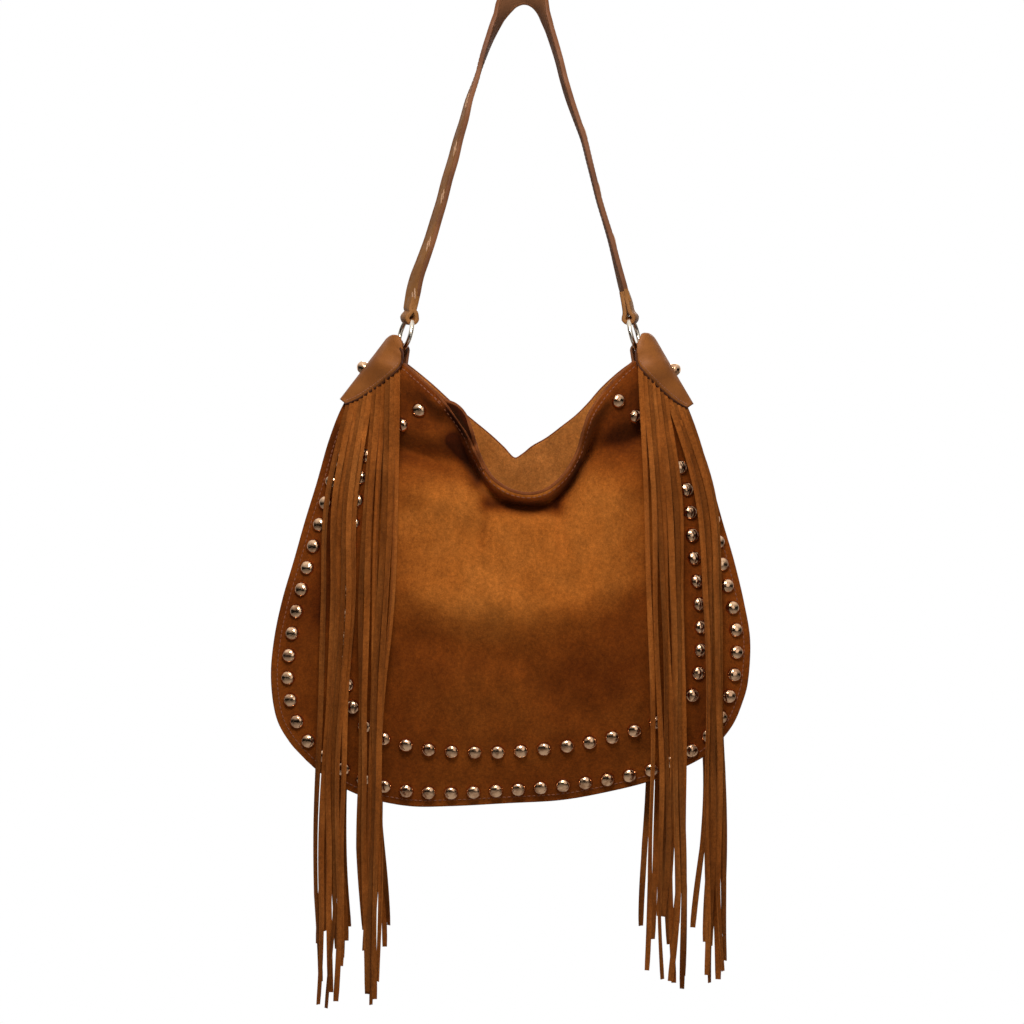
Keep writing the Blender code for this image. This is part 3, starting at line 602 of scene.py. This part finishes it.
def build_rim_binding():
    """The narrow rolled edge of the mouth, front and back."""
    bm = bmesh.new()
    for face, size in ((FRONT, 1.0), (BACK, 0.7)):
        points, rings = panel_points(face, 170, 2)[0], []
        for i in range(10, 161):
            here = Vector(points[i])
            ahead = (Vector(points[i + 1]) - Vector(points[i - 1])).normalized()
            side = ahead.cross(Vector((0, 1, 0))).normalized()
            up = side.cross(ahead)
            rings.append(oval(here, side, up, size * BINDING_RADIUS, size * BINDING_RADIUS))
        sweep(bm, rings)
    rings = []
    for share in np.linspace(0, 1, 31):
        here, normal = hit(bare[FRONT], UNDER_EDGE(share), FRONT)
        ahead = UNDER_EDGE(share + 0.02) - UNDER_EDGE(share - 0.02)
        side = Vector((ahead[0], 0, ahead[1])).normalized().cross(normal).normalized()
        rings.append(oval(here, side, normal, 0.8 * BINDING_RADIUS, 0.0010))
    sweep(bm, rings)
    made = finished(bm, "rim_binding", (BINDING,), angle=80)


build_rim_binding()

# The two rows of studs
OUTER_ROW = traced(
    (349, 440), (338, 464), (325, 507), (313, 550), (301, 594), (291, 645), (289, 686), (298, 722),
    (315, 747), (352, 773), (395, 788), (442, 792), (507, 789), (575, 783), (641, 772), (683, 755),
    (712, 730), (730, 691), (736, 649), (732, 608), (722, 568), (714, 525), (701, 484), (685, 435),
)
INNER_ROW = traced(
    (420, 411), (406, 423), (380, 443), (364, 465), (357, 509), (351, 551), (348, 610), (346, 665),
    (355, 710), (370, 729), (393, 740), (439, 749), (509, 750), (576, 743), (625, 732), (663, 717),
    (686, 702), (696, 680), (700, 640), (698, 600), (692, 550), (688, 503), (677, 462), (655, 432),
    (633, 416), (617, 402),
)


# The rings of a dome's foot: share of the radius, and height above the leather
DOME_FOOT = ((1.0, -0.0006), (1.0, 0.0002), (0.985, 0.0004))
DOME_STARTS = 0.0006


def add_dome(bm, where, normal, radius, height):
    """A polished dome with a thin foot, built as rings that shrink towards the top."""
    axes = normal.to_track_quat("Z", "Y").to_matrix()
    rings = [(share * radius, up) for share, up in DOME_FOOT]
    for degrees in np.linspace(4, 84, 7):
        a = math.radians(degrees)
        rings.append((0.97 * radius * math.cos(a), DOME_STARTS + (height - DOME_STARTS) * math.sin(a)))
    sweep(bm, [
        [where + axes @ Vector((r * math.cos(t), r * math.sin(t), up)) for t in around(18)]
        for r, up in rings
    ])


def build_studs():
    """Both rows of domes, each a little out of true."""
    for name, row, count in (("outer_studs", OUTER_ROW, 47), ("inner_studs", INNER_ROW, 44)):
        bm = bmesh.new()
        line, _ = curve(row)
        for i in range(count + 1):
            where, normal = hit(bare[FRONT], line(i / count), FRONT)
            tilt = Vector((random.uniform(-1, 1), random.uniform(-1, 1), random.uniform(-1, 1))) * 0.05
            add_dome(bm, where, (normal + tilt).normalized(), STUD_RADIUS, STUD_HEIGHT)
        made = finished(bm, name, (STUD_METAL,), angle=75)


build_studs()
studs = [bpy.data.objects[name] for name in ("outer_studs", "inner_studs")]
dressed = {FRONT: tree_of(panels[FRONT], *studs), BACK: bare[BACK]}

# Tabs
# A petal's free edge: shares of the tab's length and width
PETAL, _ = curve([
    (a * TAB_LENGTH, n * TAB_WIDTH)
    for a, n in (
        (-0.08, 0.44), (0.015, 0.77), (0.16, 0.96), (0.24, 1.0), (0.39, 0.93), (0.58, 0.78),
        (0.84, 0.50), (1.0, 0.22),
    )
])
# The stretch of the petal's edge that carries the fringe
FRINGE_SPAN = (0.33, 0.985)


def fold_frame(side):
    """The top of a tab's fold in the plane of the bag, its direction, and outwards."""
    edge, length = EDGES[side]
    below = (TAB_LENGTH - TAB_ABOVE_CORNER) / length
    top = edge(0)
    along = edge(below) - top
    along = along / np.linalg.norm(along)
    out = np.array([along[1], -along[0]]) * -side
    swelling = max((edge(below * i / 8) - top) @ out for i in range(9))
    return top - TAB_ABOVE_CORNER * along + (swelling + FOLD_CLEARANCE) * out, along, out


FOLD_FRAMES = {side: fold_frame(side) for side in (LEFT, RIGHT)}


def panel_depth(face, flat):
    """How far a panel stands out at a place, or at the nearest one below it on the panel."""
    for step in range(14):
        where, _ = hit(bare[face], flat - np.array([0, 0.002 * step]), face)
        if where is not None:
            return abs(where.y)
    return 0.0


def petal_edge(side, t):
    """The free edge of a petal in the plane of the bag."""
    top, along, out = FOLD_FRAMES[side]
    a, n = PETAL(t)
    return top + a * along - n * out


def petal_place(side, face, t, turn, lift=0.0):
    """A place on a tab: turn is 0 on its fold and a quarter circle at its edge."""
    top, along, _ = FOLD_FRAMES[side]
    edge = petal_edge(side, t)
    flat = top + t * TAB_LENGTH * along
    across = 1 - math.cos(turn) ** PETAL_SQUARENESS
    corner = 1 - math.sqrt(max(0.0, 1 - (2 * abs(across - 0.5)) ** 2.6))
    flat = flat + (edge - flat) * across + TAB_ROUNDING * corner * (1 - t) ** 4 * along
    round_ring = RING_ROOM * min(1, max(0, (0.55 - t) / 0.35))
    depth = max(panel_depth(face, edge) + PETAL_LIFT, round_ring) + lift
    return space(flat, face * depth * math.sin(turn) ** PETAL_SQUARENESS)


def build_tab(side):
    """One piece of leather, folded over the side of the bag."""
    columns, rows = 40, 36
    points = []
    for j in range(rows + 1):
        row = []
        for i in range(columns + 1):
            turn = math.pi * (i / columns - 0.5)
            face = FRONT if turn < 0 else BACK
            row.append(petal_place(side, face, j / rows, min(abs(turn), math.pi / 2)))
        points.append(row)
    made = finished(sheet(columns, rows, points), f"{SIDES[side]}_tab_leather", (TAB, TAB_EDGE))
    smooth = made.modifiers.new("Even", "SMOOTH")
    smooth.factor, smooth.iterations = 0.5, 3
    thicken(made, TAB_LEATHER)
    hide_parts(f"{SIDES[side]}_tab")
    return made


def build_tab_seams(side, tab):
    """Light stitches where the header of the fringe is sewn in, and the dark edging of both petals."""
    tree = tree_of(tab)
    out = FOLD_FRAMES[side][2]
    bm = bmesh.new()
    for face in (FRONT, BACK):
        points, outs = [], []
        for t in np.linspace(0.30, 0.96, 23):
            where, normal = hit(tree, petal_edge(side, t) + 0.0030 * out, face)
            if where is not None:
                points.append(where)
                outs.append(normal)
        stitch_row(bm, points, outs, *TAB_STITCH)
    for face in (FRONT, BACK):
        edge = [petal_place(side, face, float(t), math.pi / 2) for t in np.linspace(0.06, 1.0, 41)]
        rings = []
        for k, here in enumerate(edge):
            along = (edge[min(k + 1, 40)] - edge[max(k - 1, 0)]).normalized()
            across = along.cross(Vector((0, 1, 0))).normalized()
            rings.append(oval(here, across, across.cross(along), 0.0012, 0.0014))
        sweep(bm, rings, finish=1)
    made = finished(bm, f"{SIDES[side]}_tab_stitches", (PINK_SEAM, TAB_EDGE))


def build_side_stud(side):
    """The dome on the fold of a tab."""
    top, along, out = FOLD_FRAMES[side]
    fold = top + SIDE_STUD_DOWN * along + TAB_LEATHER / 2 * out
    outward = Vector((out[0], 0, out[1]))
    bm = bmesh.new()
    add_dome(bm, space(fold, 0), outward, *SIDE_STUD)
    made = finished(bm, f"{SIDES[side]}_fold_stud", (STUD_METAL,), angle=75)
    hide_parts(f"{SIDES[side]}_side_stud")


for side in (LEFT, RIGHT):
    tab = build_tab(side)
    build_tab_seams(side, tab)
    build_side_stud(side)
    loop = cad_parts[f"{SIDES[side]}_ring_loop"]
    loop.data.materials.clear()
    loop.data.materials.append(STRAP_EDGE)


# Rings
def ring_frame(side):
    """The way up from a ring to the strap, and the way its wire runs in the strap's eye."""
    up = Vector((-RING_X[side] + side * CROWN_RADIUS, 0, -RING_Z)).normalized()
    return up, Matrix.Rotation(RING_TURN[side], 3, up) @ Vector((0, 1, 0))


def build_ring(side):
    up, wire = ring_frame(side)
    turned = Matrix((wire.cross(up), wire, up)).transposed().to_4x4()
    bm = bmesh.new()
    outwards = Matrix.Translation((0, RING_RADIUS, 0))
    bmesh.ops.create_circle(bm, segments=16, radius=RING_WIRE / 2, matrix=outwards)
    bmesh.ops.spin(
        bm, geom=bm.verts[:] + bm.edges[:], cent=(0, 0, 0), axis=(1, 0, 0), angle=math.tau, steps=64,
        use_merge=True,
    )
    bmesh.ops.transform(bm, matrix=Matrix.Translation((RING_X[side], 0, RING_Z)) @ turned, verts=bm.verts)
    made = finished(bm, f"{SIDES[side]}_ring_metal", (RING_METAL,), f"{SIDES[side]}_ring", 180)
    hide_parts(f"{SIDES[side]}_ring")


for side in (LEFT, RIGHT):
    build_ring(side)

# Strap
STRAP_LINE = traced(
    (410, 309), (416, 280), (423, 260), (430, 240), (436, 220), (442, 200), (447, 180), (453, 160),
    (458, 140), (464, 120), (469, 100), (476, 80), (482, 60), (489, 40), (498, 19), (508, 1), (523, -6),
    (538, 0), (546, 19), (553, 40), (559, 60), (564, 80), (570, 100), (577, 120), (584, 140), (589, 160),
    (594, 180), (599, 200), (605, 220), (611, 240), (616, 260), (621, 280), (627, 303),
)
# How far the strap turns out of edge-on, in degrees, at shares of its length
TWIST = (
    (0, 38), (0.03, 31), (0.06, 27), (0.107, 23), (0.17, 20.5), (0.23, 19.5), (0.295, 14), (0.33, 9),
    (0.36, 4), (0.39, -3), (0.42, -9), (0.455, -20), (0.475, -44), (0.5, -50), (0.53, -44), (0.55, -20),
    (0.58, -11), (0.62, -8.5), (0.68, -8), (0.74, -3.5), (0.8, -2), (0.87, -1.5), (0.93, -5), (0.97, -9),
    (1, -12),
)
STRAP_STEPS = 150
STRAP_WIDTH, STRAP_END_WIDTH, STRAP_THICKNESS = 0.020, 0.015, 0.004
STRAP_NARROWS = 0.016
# Faces this far off the middle line, and above the strap's narrow ends, are its cut edges
CUT_EDGE_FROM = 0.0095
ENDS_BELOW = -0.27
EYE_WIDTH, EYE_PLY, EYE_RADIUS = 0.0158, 0.0036, 0.0044
# Where the pairs of lace stitches lie, in the photo's pixels
LACES = ((411, 296), (427, 246), (441, 195), (455, 150), (475, 105), (587, 130), (600, 190), (612, 240))
LACE_OFF_MIDDLE = {LEFT: 0.0050, RIGHT: 0.0062}
LACE_HEIGHT = 0.0019
LACE_SLANT = (0.93, 0.36)
LACE_SPAN = 0.0084
STRAP_SEAM_OFF_MIDDLE, STRAP_SEAM_HEIGHT = 0.0078, 0.0021


def strap_frames():
    """Places along the strap, with their direction, width direction and outward direction."""
    line, length = curve(STRAP_LINE)
    frames = []
    for i in range(STRAP_STEPS + 1):
        share = i / STRAP_STEPS
        here = line(share)
        ahead = line(share + 0.004) - line(share - 0.004)
        along = Vector((ahead[0], 0, ahead[1])).normalized()
        turn = math.radians(np.interp(share, *zip(*TWIST)))
        width = Matrix.Rotation(turn, 3, along) @ Vector((0, 1, 0))
        frames.append((space(here, 0), along, width, along.cross(width)))
    return frames, length


def flat_section(width, thickness, edge=0.0006):
    """A flat strip's section with rounded corners, as shares of width and outward directions."""
    w, t, cut = width / 2, thickness / 2, 0.3 * edge
    return [
        (-w + edge, -t), (0, -t), (w - edge, -t), (w - cut, -t + cut), (w, -t + edge), (w, t - edge),
        (w - cut, t - cut), (w - edge, t), (0, t), (-w + edge, t), (-w + cut, t - cut), (-w, t - edge),
        (-w, -t + edge), (-w + cut, -t + cut),
    ]


def build_strap():
    """The strap: smooth outside, flesh side inside, dark along its cut edges."""
    frames, length = strap_frames()
    bm = bmesh.new()
    rings = []
    for i, (here, _, width, out) in enumerate(frames):
        from_end = min(i, STRAP_STEPS - i) / STRAP_STEPS * length
        wide = STRAP_END_WIDTH + (STRAP_WIDTH - STRAP_END_WIDTH) * min(1, from_end / STRAP_NARROWS)
        rings.append([here + a * width + b * out for a, b in flat_section(wide, STRAP_THICKNESS)])
    sweep(bm, rings)
    for side in (LEFT, RIGHT):
        add_strap_eye(bm, side, frames[0] if side == LEFT else frames[-1])
    made = finished(bm, "shoulder_strap", (STRAP, STRAP_EDGE, STRAP_INSIDE), "strap", 40)
    for face in made.data.polygons:
        middle = face.center
        near = min(frames, key=lambda f: (f[0] - middle).length_squared)
        if abs((middle - near[0]).dot(near[2])) > CUT_EDGE_FROM and middle.z > ENDS_BELOW:
            face.material_index = 1
        elif face.normal.dot(near[3]) < -0.5:
            face.material_index = 2
    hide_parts("strap")
    build_strap_seams(frames)


def add_strap_eye(bm, side, end):
    """The strap's end, turned round the ring's top and sewn back on itself."""
    up, width = ring_frame(side)
    wire = Vector((RING_X[side], 0, RING_Z)) + RING_RADIUS * up
    across = up.cross(width).normalized()
    centre = wire + 0.0002 * up
    here = end[0]
    into = here + 0.010 * (end[1] if side == LEFT else -end[1])
    legs = [
        [into + s * 0.0010 * across, here + s * 0.0018 * across, centre + 0.0050 * up + s * 0.0022 * across,
         centre + s * EYE_RADIUS * across]
        for s in (1, -1)
    ]
    round_wire = [
        centre + EYE_RADIUS * (math.cos(a) * across - math.sin(a) * up)
        for a in np.linspace(0, math.pi, 9)[1:-1]
    ]
    points = legs[0] + round_wire + legs[1][::-1]
    smooth, _ = curve([tuple(p) for p in points], 6)
    rings = []
    for i in range(49):
        here = Vector(smooth(i / 48))
        ahead = Vector(smooth(i / 48 + 0.01) - smooth(i / 48 - 0.01)).normalized()
        out = ahead.cross(width).normalized()
        rings.append([here + a * width + b * out for a, b in flat_section(EYE_WIDTH, EYE_PLY, 0.0008)])
    sweep(bm, rings)


def build_strap_seams(frames):
    """A fine seam along both edges, and the pale lace on the outer face."""
    seams, laces = bmesh.new(), bmesh.new()
    for edge in (-1, 1):
        for face in (-1, 1):
            points, outs = [], []
            for i in range(6, STRAP_STEPS - 5):
                here, along, width, out = frames[i]
                points.append(here + edge * STRAP_SEAM_OFF_MIDDLE * width + face * STRAP_SEAM_HEIGHT * out)
                outs.append(face * out)
            stitch_row(seams, points, outs, *STRAP_STITCH)
    made = finished(seams, "strap_stitches", (STRAP_EDGE,), "strap")
    for x, y in LACES:
        target = space(place(x, y), 0)
        here, along, width, out = min(frames, key=lambda f: (f[0] - target).length_squared)
        side = LEFT if target.x < 0 else RIGHT
        if along.z < 0:
            along = -along
        out = out if out.x * side > 0 else -out
        middle = here - LACE_OFF_MIDDLE[side] * width + LACE_HEIGHT * out
        for shift in (-1, 1):
            slant = (LACE_SLANT[0] * along + LACE_SLANT[1] * width).normalized()
            start = middle + shift * (0.0012 * width - 0.0020 * along) - LACE_SPAN / 2 * slant
            stitch_row(laces, [start, start + LACE_SPAN * slant], [out], *LACE_STITCH)
    made = finished(laces, "strap_lace", (LACE,), "strap")


build_strap()

# Fringes
HEADER_SINK = -0.0024
STRIP_HALF_WIDTHS = (0.0021, 0.0026)
STRIP_STEPS = 60
# How far strips wave, hook at their ends and curl across their width
STRIP_WAVE = 0.0016
STRIP_HOOK = 0.0045
STRIP_CURL = (0.0003, 0.0010)
# How far a strip turns, in degrees: at its start, and more towards its end
STRIP_TWIST = (36, 28)
# Strips lie in front of whatever is this near them, across and up or down
NEAR_ACROSS = (-0.004, 0, 0.004)
NEAR_DOWN = (0.006, 0, -0.012)
STRIP_LAYERS = (0.0008, 0.0034, 0.0060)
# The front strips from the inner one outwards: the photo's x at four heights, then the lower end
STRIP_HEIGHTS = (500, 600, 700, 790)
STRIP_LINES = {
    LEFT: (
        ((397, 393, 384, 381), (381, 975)), ((392, 388, 382, 379), (378, 992)),
        ((386, 382, 376, 375), (373, 985)), ((379, 376, 374, 373), (370, 999)),
        ((372, 369, 365, 367), (366, 988)), ((368, 363, 362, 363), (360, 925)),
        ((356, 355, 346, 345), (344, 962)), ((352, 350, 343, 340), (340, 996)),
        ((347, 344, 339, 336), (335, 1003)), ((341, 339, 335, 330), (329, 988)),
        ((336, 335, 330, 325), (323, 1000)), ((328, 325, 321, 319), (316, 978)),
    ),
    RIGHT: (
        ((645, 648, 650, 651), (646, 965)), ((652, 654, 657, 659), (658, 973)),
        ((657, 661, 665, 666), (665, 912)), ((662, 665, 668, 670), (670, 978)),
        ((668, 671, 673, 675), (674, 976)), ((674, 676, 678, 680), (682, 984)),
        ((679, 680, 681, 683), (685, 972)), ((697, 704, 706, 706), (704, 971)),
        ((702, 708, 709, 711), (710, 979)), ((706, 713, 713, 714), (714, 977)),
        ((709, 716, 717, 718), (718, 968)), ((713, 718, 720, 722), (722, 958)),
    ),
}
BACK_ENDS = {
    LEFT: (930, 952, 936, 925, 948, 955, 930, 962, 944, 952, 934, 946),
    RIGHT: (930, 944, 920, 948, 936, 924, 926, 930, 944, 930, 948, 936),
}


def strip_share(side, x):
    """Where on the petal's edge a strip starts that hangs at x."""
    first, last = FRINGE_SPAN
    for _ in range(20):
        middle = (first + last) / 2
        if side * (petal_edge(side, middle)[0] - x) < 0:
            first = middle
        else:
            last = middle
    return first


def build_fringe(side, face):
    """One piece of suede: a header under the petal, cut into strips that hang and turn."""
    bm, cut = bmesh.new(), 0.0
    inner_x, outer_x = (petal_edge(side, t)[0] for t in FRINGE_SPAN)
    for n, (xs, end) in enumerate(STRIP_LINES[side]):
        x = inner_x + (outer_x - inner_x) * (n + 0.5) / len(STRIP_LINES[side])
        share = strip_share(side, x)
        start = petal_edge(side, share)
        if face == BACK:
            end = (end[0] - 4 * side, BACK_ENDS[side][n])
            xs = [x + 3 * math.sin(2 * n + y) for x, y in zip(xs, STRIP_HEIGHTS)]
        points = [start, *traced(*zip(xs, STRIP_HEIGHTS)), place(*end)]
        line, length = curve(points)
        half = random.uniform(*STRIP_HALF_WIDTHS)
        cut += 2 * half * length
        add_strip(bm, side, face, share, line, half, STRIP_LAYERS[(n * 5) % 3], (n * 7 + face) % 3)
    header = []
    for j in range(19):
        t = FRINGE_SPAN[0] + (FRINGE_SPAN[1] - FRINGE_SPAN[0]) * j / 18
        header.append([petal_place(side, face, t, math.radians(a), HEADER_SINK) for a in (66, 74, 82, 90)])
    band = sheet(3, 18, header)
    bmesh.ops.solidify(band, geom=band.faces[:], thickness=0.0011)
    join(bm, band)
    name = f"{SIDES[side]}_{FACES[face]}_fringe"
    made = finished(bm, f"{name}_suede", STRIPS, angle=40)
    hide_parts(name)


def add_strip(bm, side, face, share, line, half, layer, finish):
    """A strip that comes out from under the petal, hangs over what is behind it, and turns."""
    phase, turns = random.uniform(0, math.tau), random.uniform(1.0, 2.2)
    hook, curl = random.uniform(-1, 1) * STRIP_HOOK, random.uniform(*STRIP_CURL)
    rings = [(petal_place(side, face, share, math.radians(a), HEADER_SINK), 0.0) for a in (74, 84)]
    base, depth, ply = abs(rings[-1][0].y), 0.0, STRIP_LEATHER / 2
    for k in range(STRIP_STEPS + 1):
        t = k / STRIP_STEPS
        x, z = line(t)
        x += STRIP_WAVE * math.sin(2.2 * math.tau * t + phase) * t + hook * max(0.0, t - 0.85) / 0.15 * t
        for dx in NEAR_ACROSS:
            for dz in NEAR_DOWN:
                where, _ = hit(dressed[face], (x + dx, z + dz), face)
                if where is not None:
                    depth = max(depth, abs(where.y))
        most = math.radians(STRIP_TWIST[0] + STRIP_TWIST[1] * t)
        angle = most * math.sin(turns * math.pi * t + phase) * min(1, 4 * t)
        out = depth + layer * min(1, 6 * t) + ply + 0.0003 + half * abs(math.sin(angle))
        if out < base:
            out = base + (out - base) * min(1, 8 * t)
        rings.append((Vector((x, face * out, z)), angle))
    loops = []
    for k, (here, angle) in enumerate(rings):
        previous, following = rings[max(k - 1, 0)][0], rings[min(k + 1, len(rings) - 1)][0]
        along = (following - previous).normalized()
        width = Matrix.Rotation(angle, 3, along) @ Vector((1, 0, 0))
        width = (width - width.dot(along) * along).normalized()
        out = along.cross(width)
        wide = half * (1.0 - 0.12 * max(0, k - len(rings) + 2))
        loops.append([
            here + a * width + b * out
            for a, b in (
                (-wide, -ply), (0, -ply - curl), (wide, -ply), (wide, ply), (0, ply - curl), (-wide, ply),
            )
        ])
    sweep(bm, loops, finish=finish)


for side in (LEFT, RIGHT):
    for face in (FRONT, BACK):
        build_fringe(side, face)


# Floor, light and camera
FLOOR_LEVEL = -1.6
FLOOR_GLOW = 0.42


def build_stage():
    """A pale floor well below the bag."""
    made, tree, shader = graph("pale_floor", 0.9)
    shader.inputs["Base Color"].default_value = (0.8, 0.8, 0.8, 1)
    shader.inputs["Emission Color"].default_value = (1, 1, 1, 1)
    path = tree.nodes.new("ShaderNodeLightPath")
    level = tree.nodes.new("ShaderNodeMath")
    level.operation = "MULTIPLY"
    level.inputs[1].default_value = FLOOR_GLOW
    tree.links.new(path.outputs["Is Camera Ray"], level.inputs[0])
    tree.links.new(level.outputs[0], shader.inputs["Emission Strength"])
    bm = bmesh.new()
    down = Matrix.Translation((0, 0, FLOOR_LEVEL))
    bmesh.ops.create_grid(bm, x_segments=1, y_segments=1, size=4, matrix=down)
    mesh = bpy.data.meshes.new("floor")
    bm.to_mesh(mesh)
    bm.free()
    mesh.materials.append(made)
    floor = bpy.data.objects.new("floor", mesh)
    bpy.context.collection.objects.link(floor)


def largest(tree, values):
    """The largest of several values of a node tree."""
    best = values[0]
    for value in values[1:]:
        larger = tree.nodes.new("ShaderNodeMath")
        larger.operation = "MAXIMUM"
        tree.links.new(best, larger.inputs[0])
        tree.links.new(value, larger.inputs[1])
        best = larger.outputs[0]
    return best


def build_world():
    """White to the camera; to the object, a plain studio that is darker in front and below."""
    world = bpy.data.worlds.new("studio")
    bpy.context.scene.world = world
    world.use_nodes = True
    tree = world.node_tree
    ambient = tree.nodes["Background"]
    ambient.inputs["Color"].default_value = (1, 0.98, 0.95, 1)
    ambient.inputs["Strength"].default_value = 0.15

    coord = tree.nodes.new("ShaderNodeTexCoord")
    parts = tree.nodes.new("ShaderNodeSeparateXYZ")
    tree.links.new(coord.outputs["Generated"], parts.inputs[0])
    levels = []
    for axis, low, high, least in (("Z", 0.1, 0.8, 0.01), ("Y", 0.15, 0.7, 0.0)):
        level = tree.nodes.new("ShaderNodeMapRange")
        level.inputs["From Min"].default_value, level.inputs["From Max"].default_value = low, high
        level.inputs["To Min"].default_value, level.inputs["To Max"].default_value = least, 1.0
        tree.links.new(parts.outputs[axis], level.inputs["Value"])
        levels.append(level.outputs["Result"])
    path = tree.nodes.new("ShaderNodeLightPath")
    plain = [path.outputs[ray] for ray in ("Is Camera Ray", "Is Transmission Ray")]
    seen = tree.nodes.new("ShaderNodeBackground")
    seen.inputs["Color"].default_value = (1, 1, 1, 1)
    tree.links.new(largest(tree, levels + plain), seen.inputs["Strength"])

    choose = tree.nodes.new("ShaderNodeMixShader")
    tree.links.new(largest(tree, plain + [path.outputs["Is Glossy Ray"]]), choose.inputs[0])
    tree.links.new(ambient.outputs[0], choose.inputs[1])
    tree.links.new(seen.outputs[0], choose.inputs[2])
    tree.links.new(choose.outputs[0], tree.nodes["World Output"].inputs["Surface"])


def add_lamp(name, where, aim, size, power, colour=(1, 1, 1)):
    lamp = bpy.data.lights.new(name, "AREA")
    lamp.size, lamp.energy, lamp.color = size, power, colour
    made = bpy.data.objects.new(name, lamp)
    made.location = where
    made.rotation_euler = (Vector(aim) - Vector(where)).to_track_quat("-Z", "Y").to_euler()
    bpy.context.collection.objects.link(made)


def build_camera():
    camera = bpy.data.cameras.new("camera")
    camera.lens, camera.sensor_width = 124.1, 36
    made = bpy.data.objects.new("camera", camera)
    made.location = (-0.0094, -3.0, -0.4454)
    made.rotation_euler = (math.pi / 2, 0, 0)
    bpy.context.collection.objects.link(made)
    bpy.context.scene.camera = made


build_stage()
build_world()
add_lamp("key", (-0.06, -0.95, 0.34), (0, 0, -0.44), 0.45, 12, (1.0, 0.97, 0.93))
add_lamp("fill", (1.0, -1.7, -0.2), (0, 0, -0.5), 1.2, 4)
add_lamp("back", (0.2, 1.5, 0.6), (0, 0, -0.4), 1.0, 16)
build_camera()
bpy.context.scene.view_settings.view_transform = "Standard"
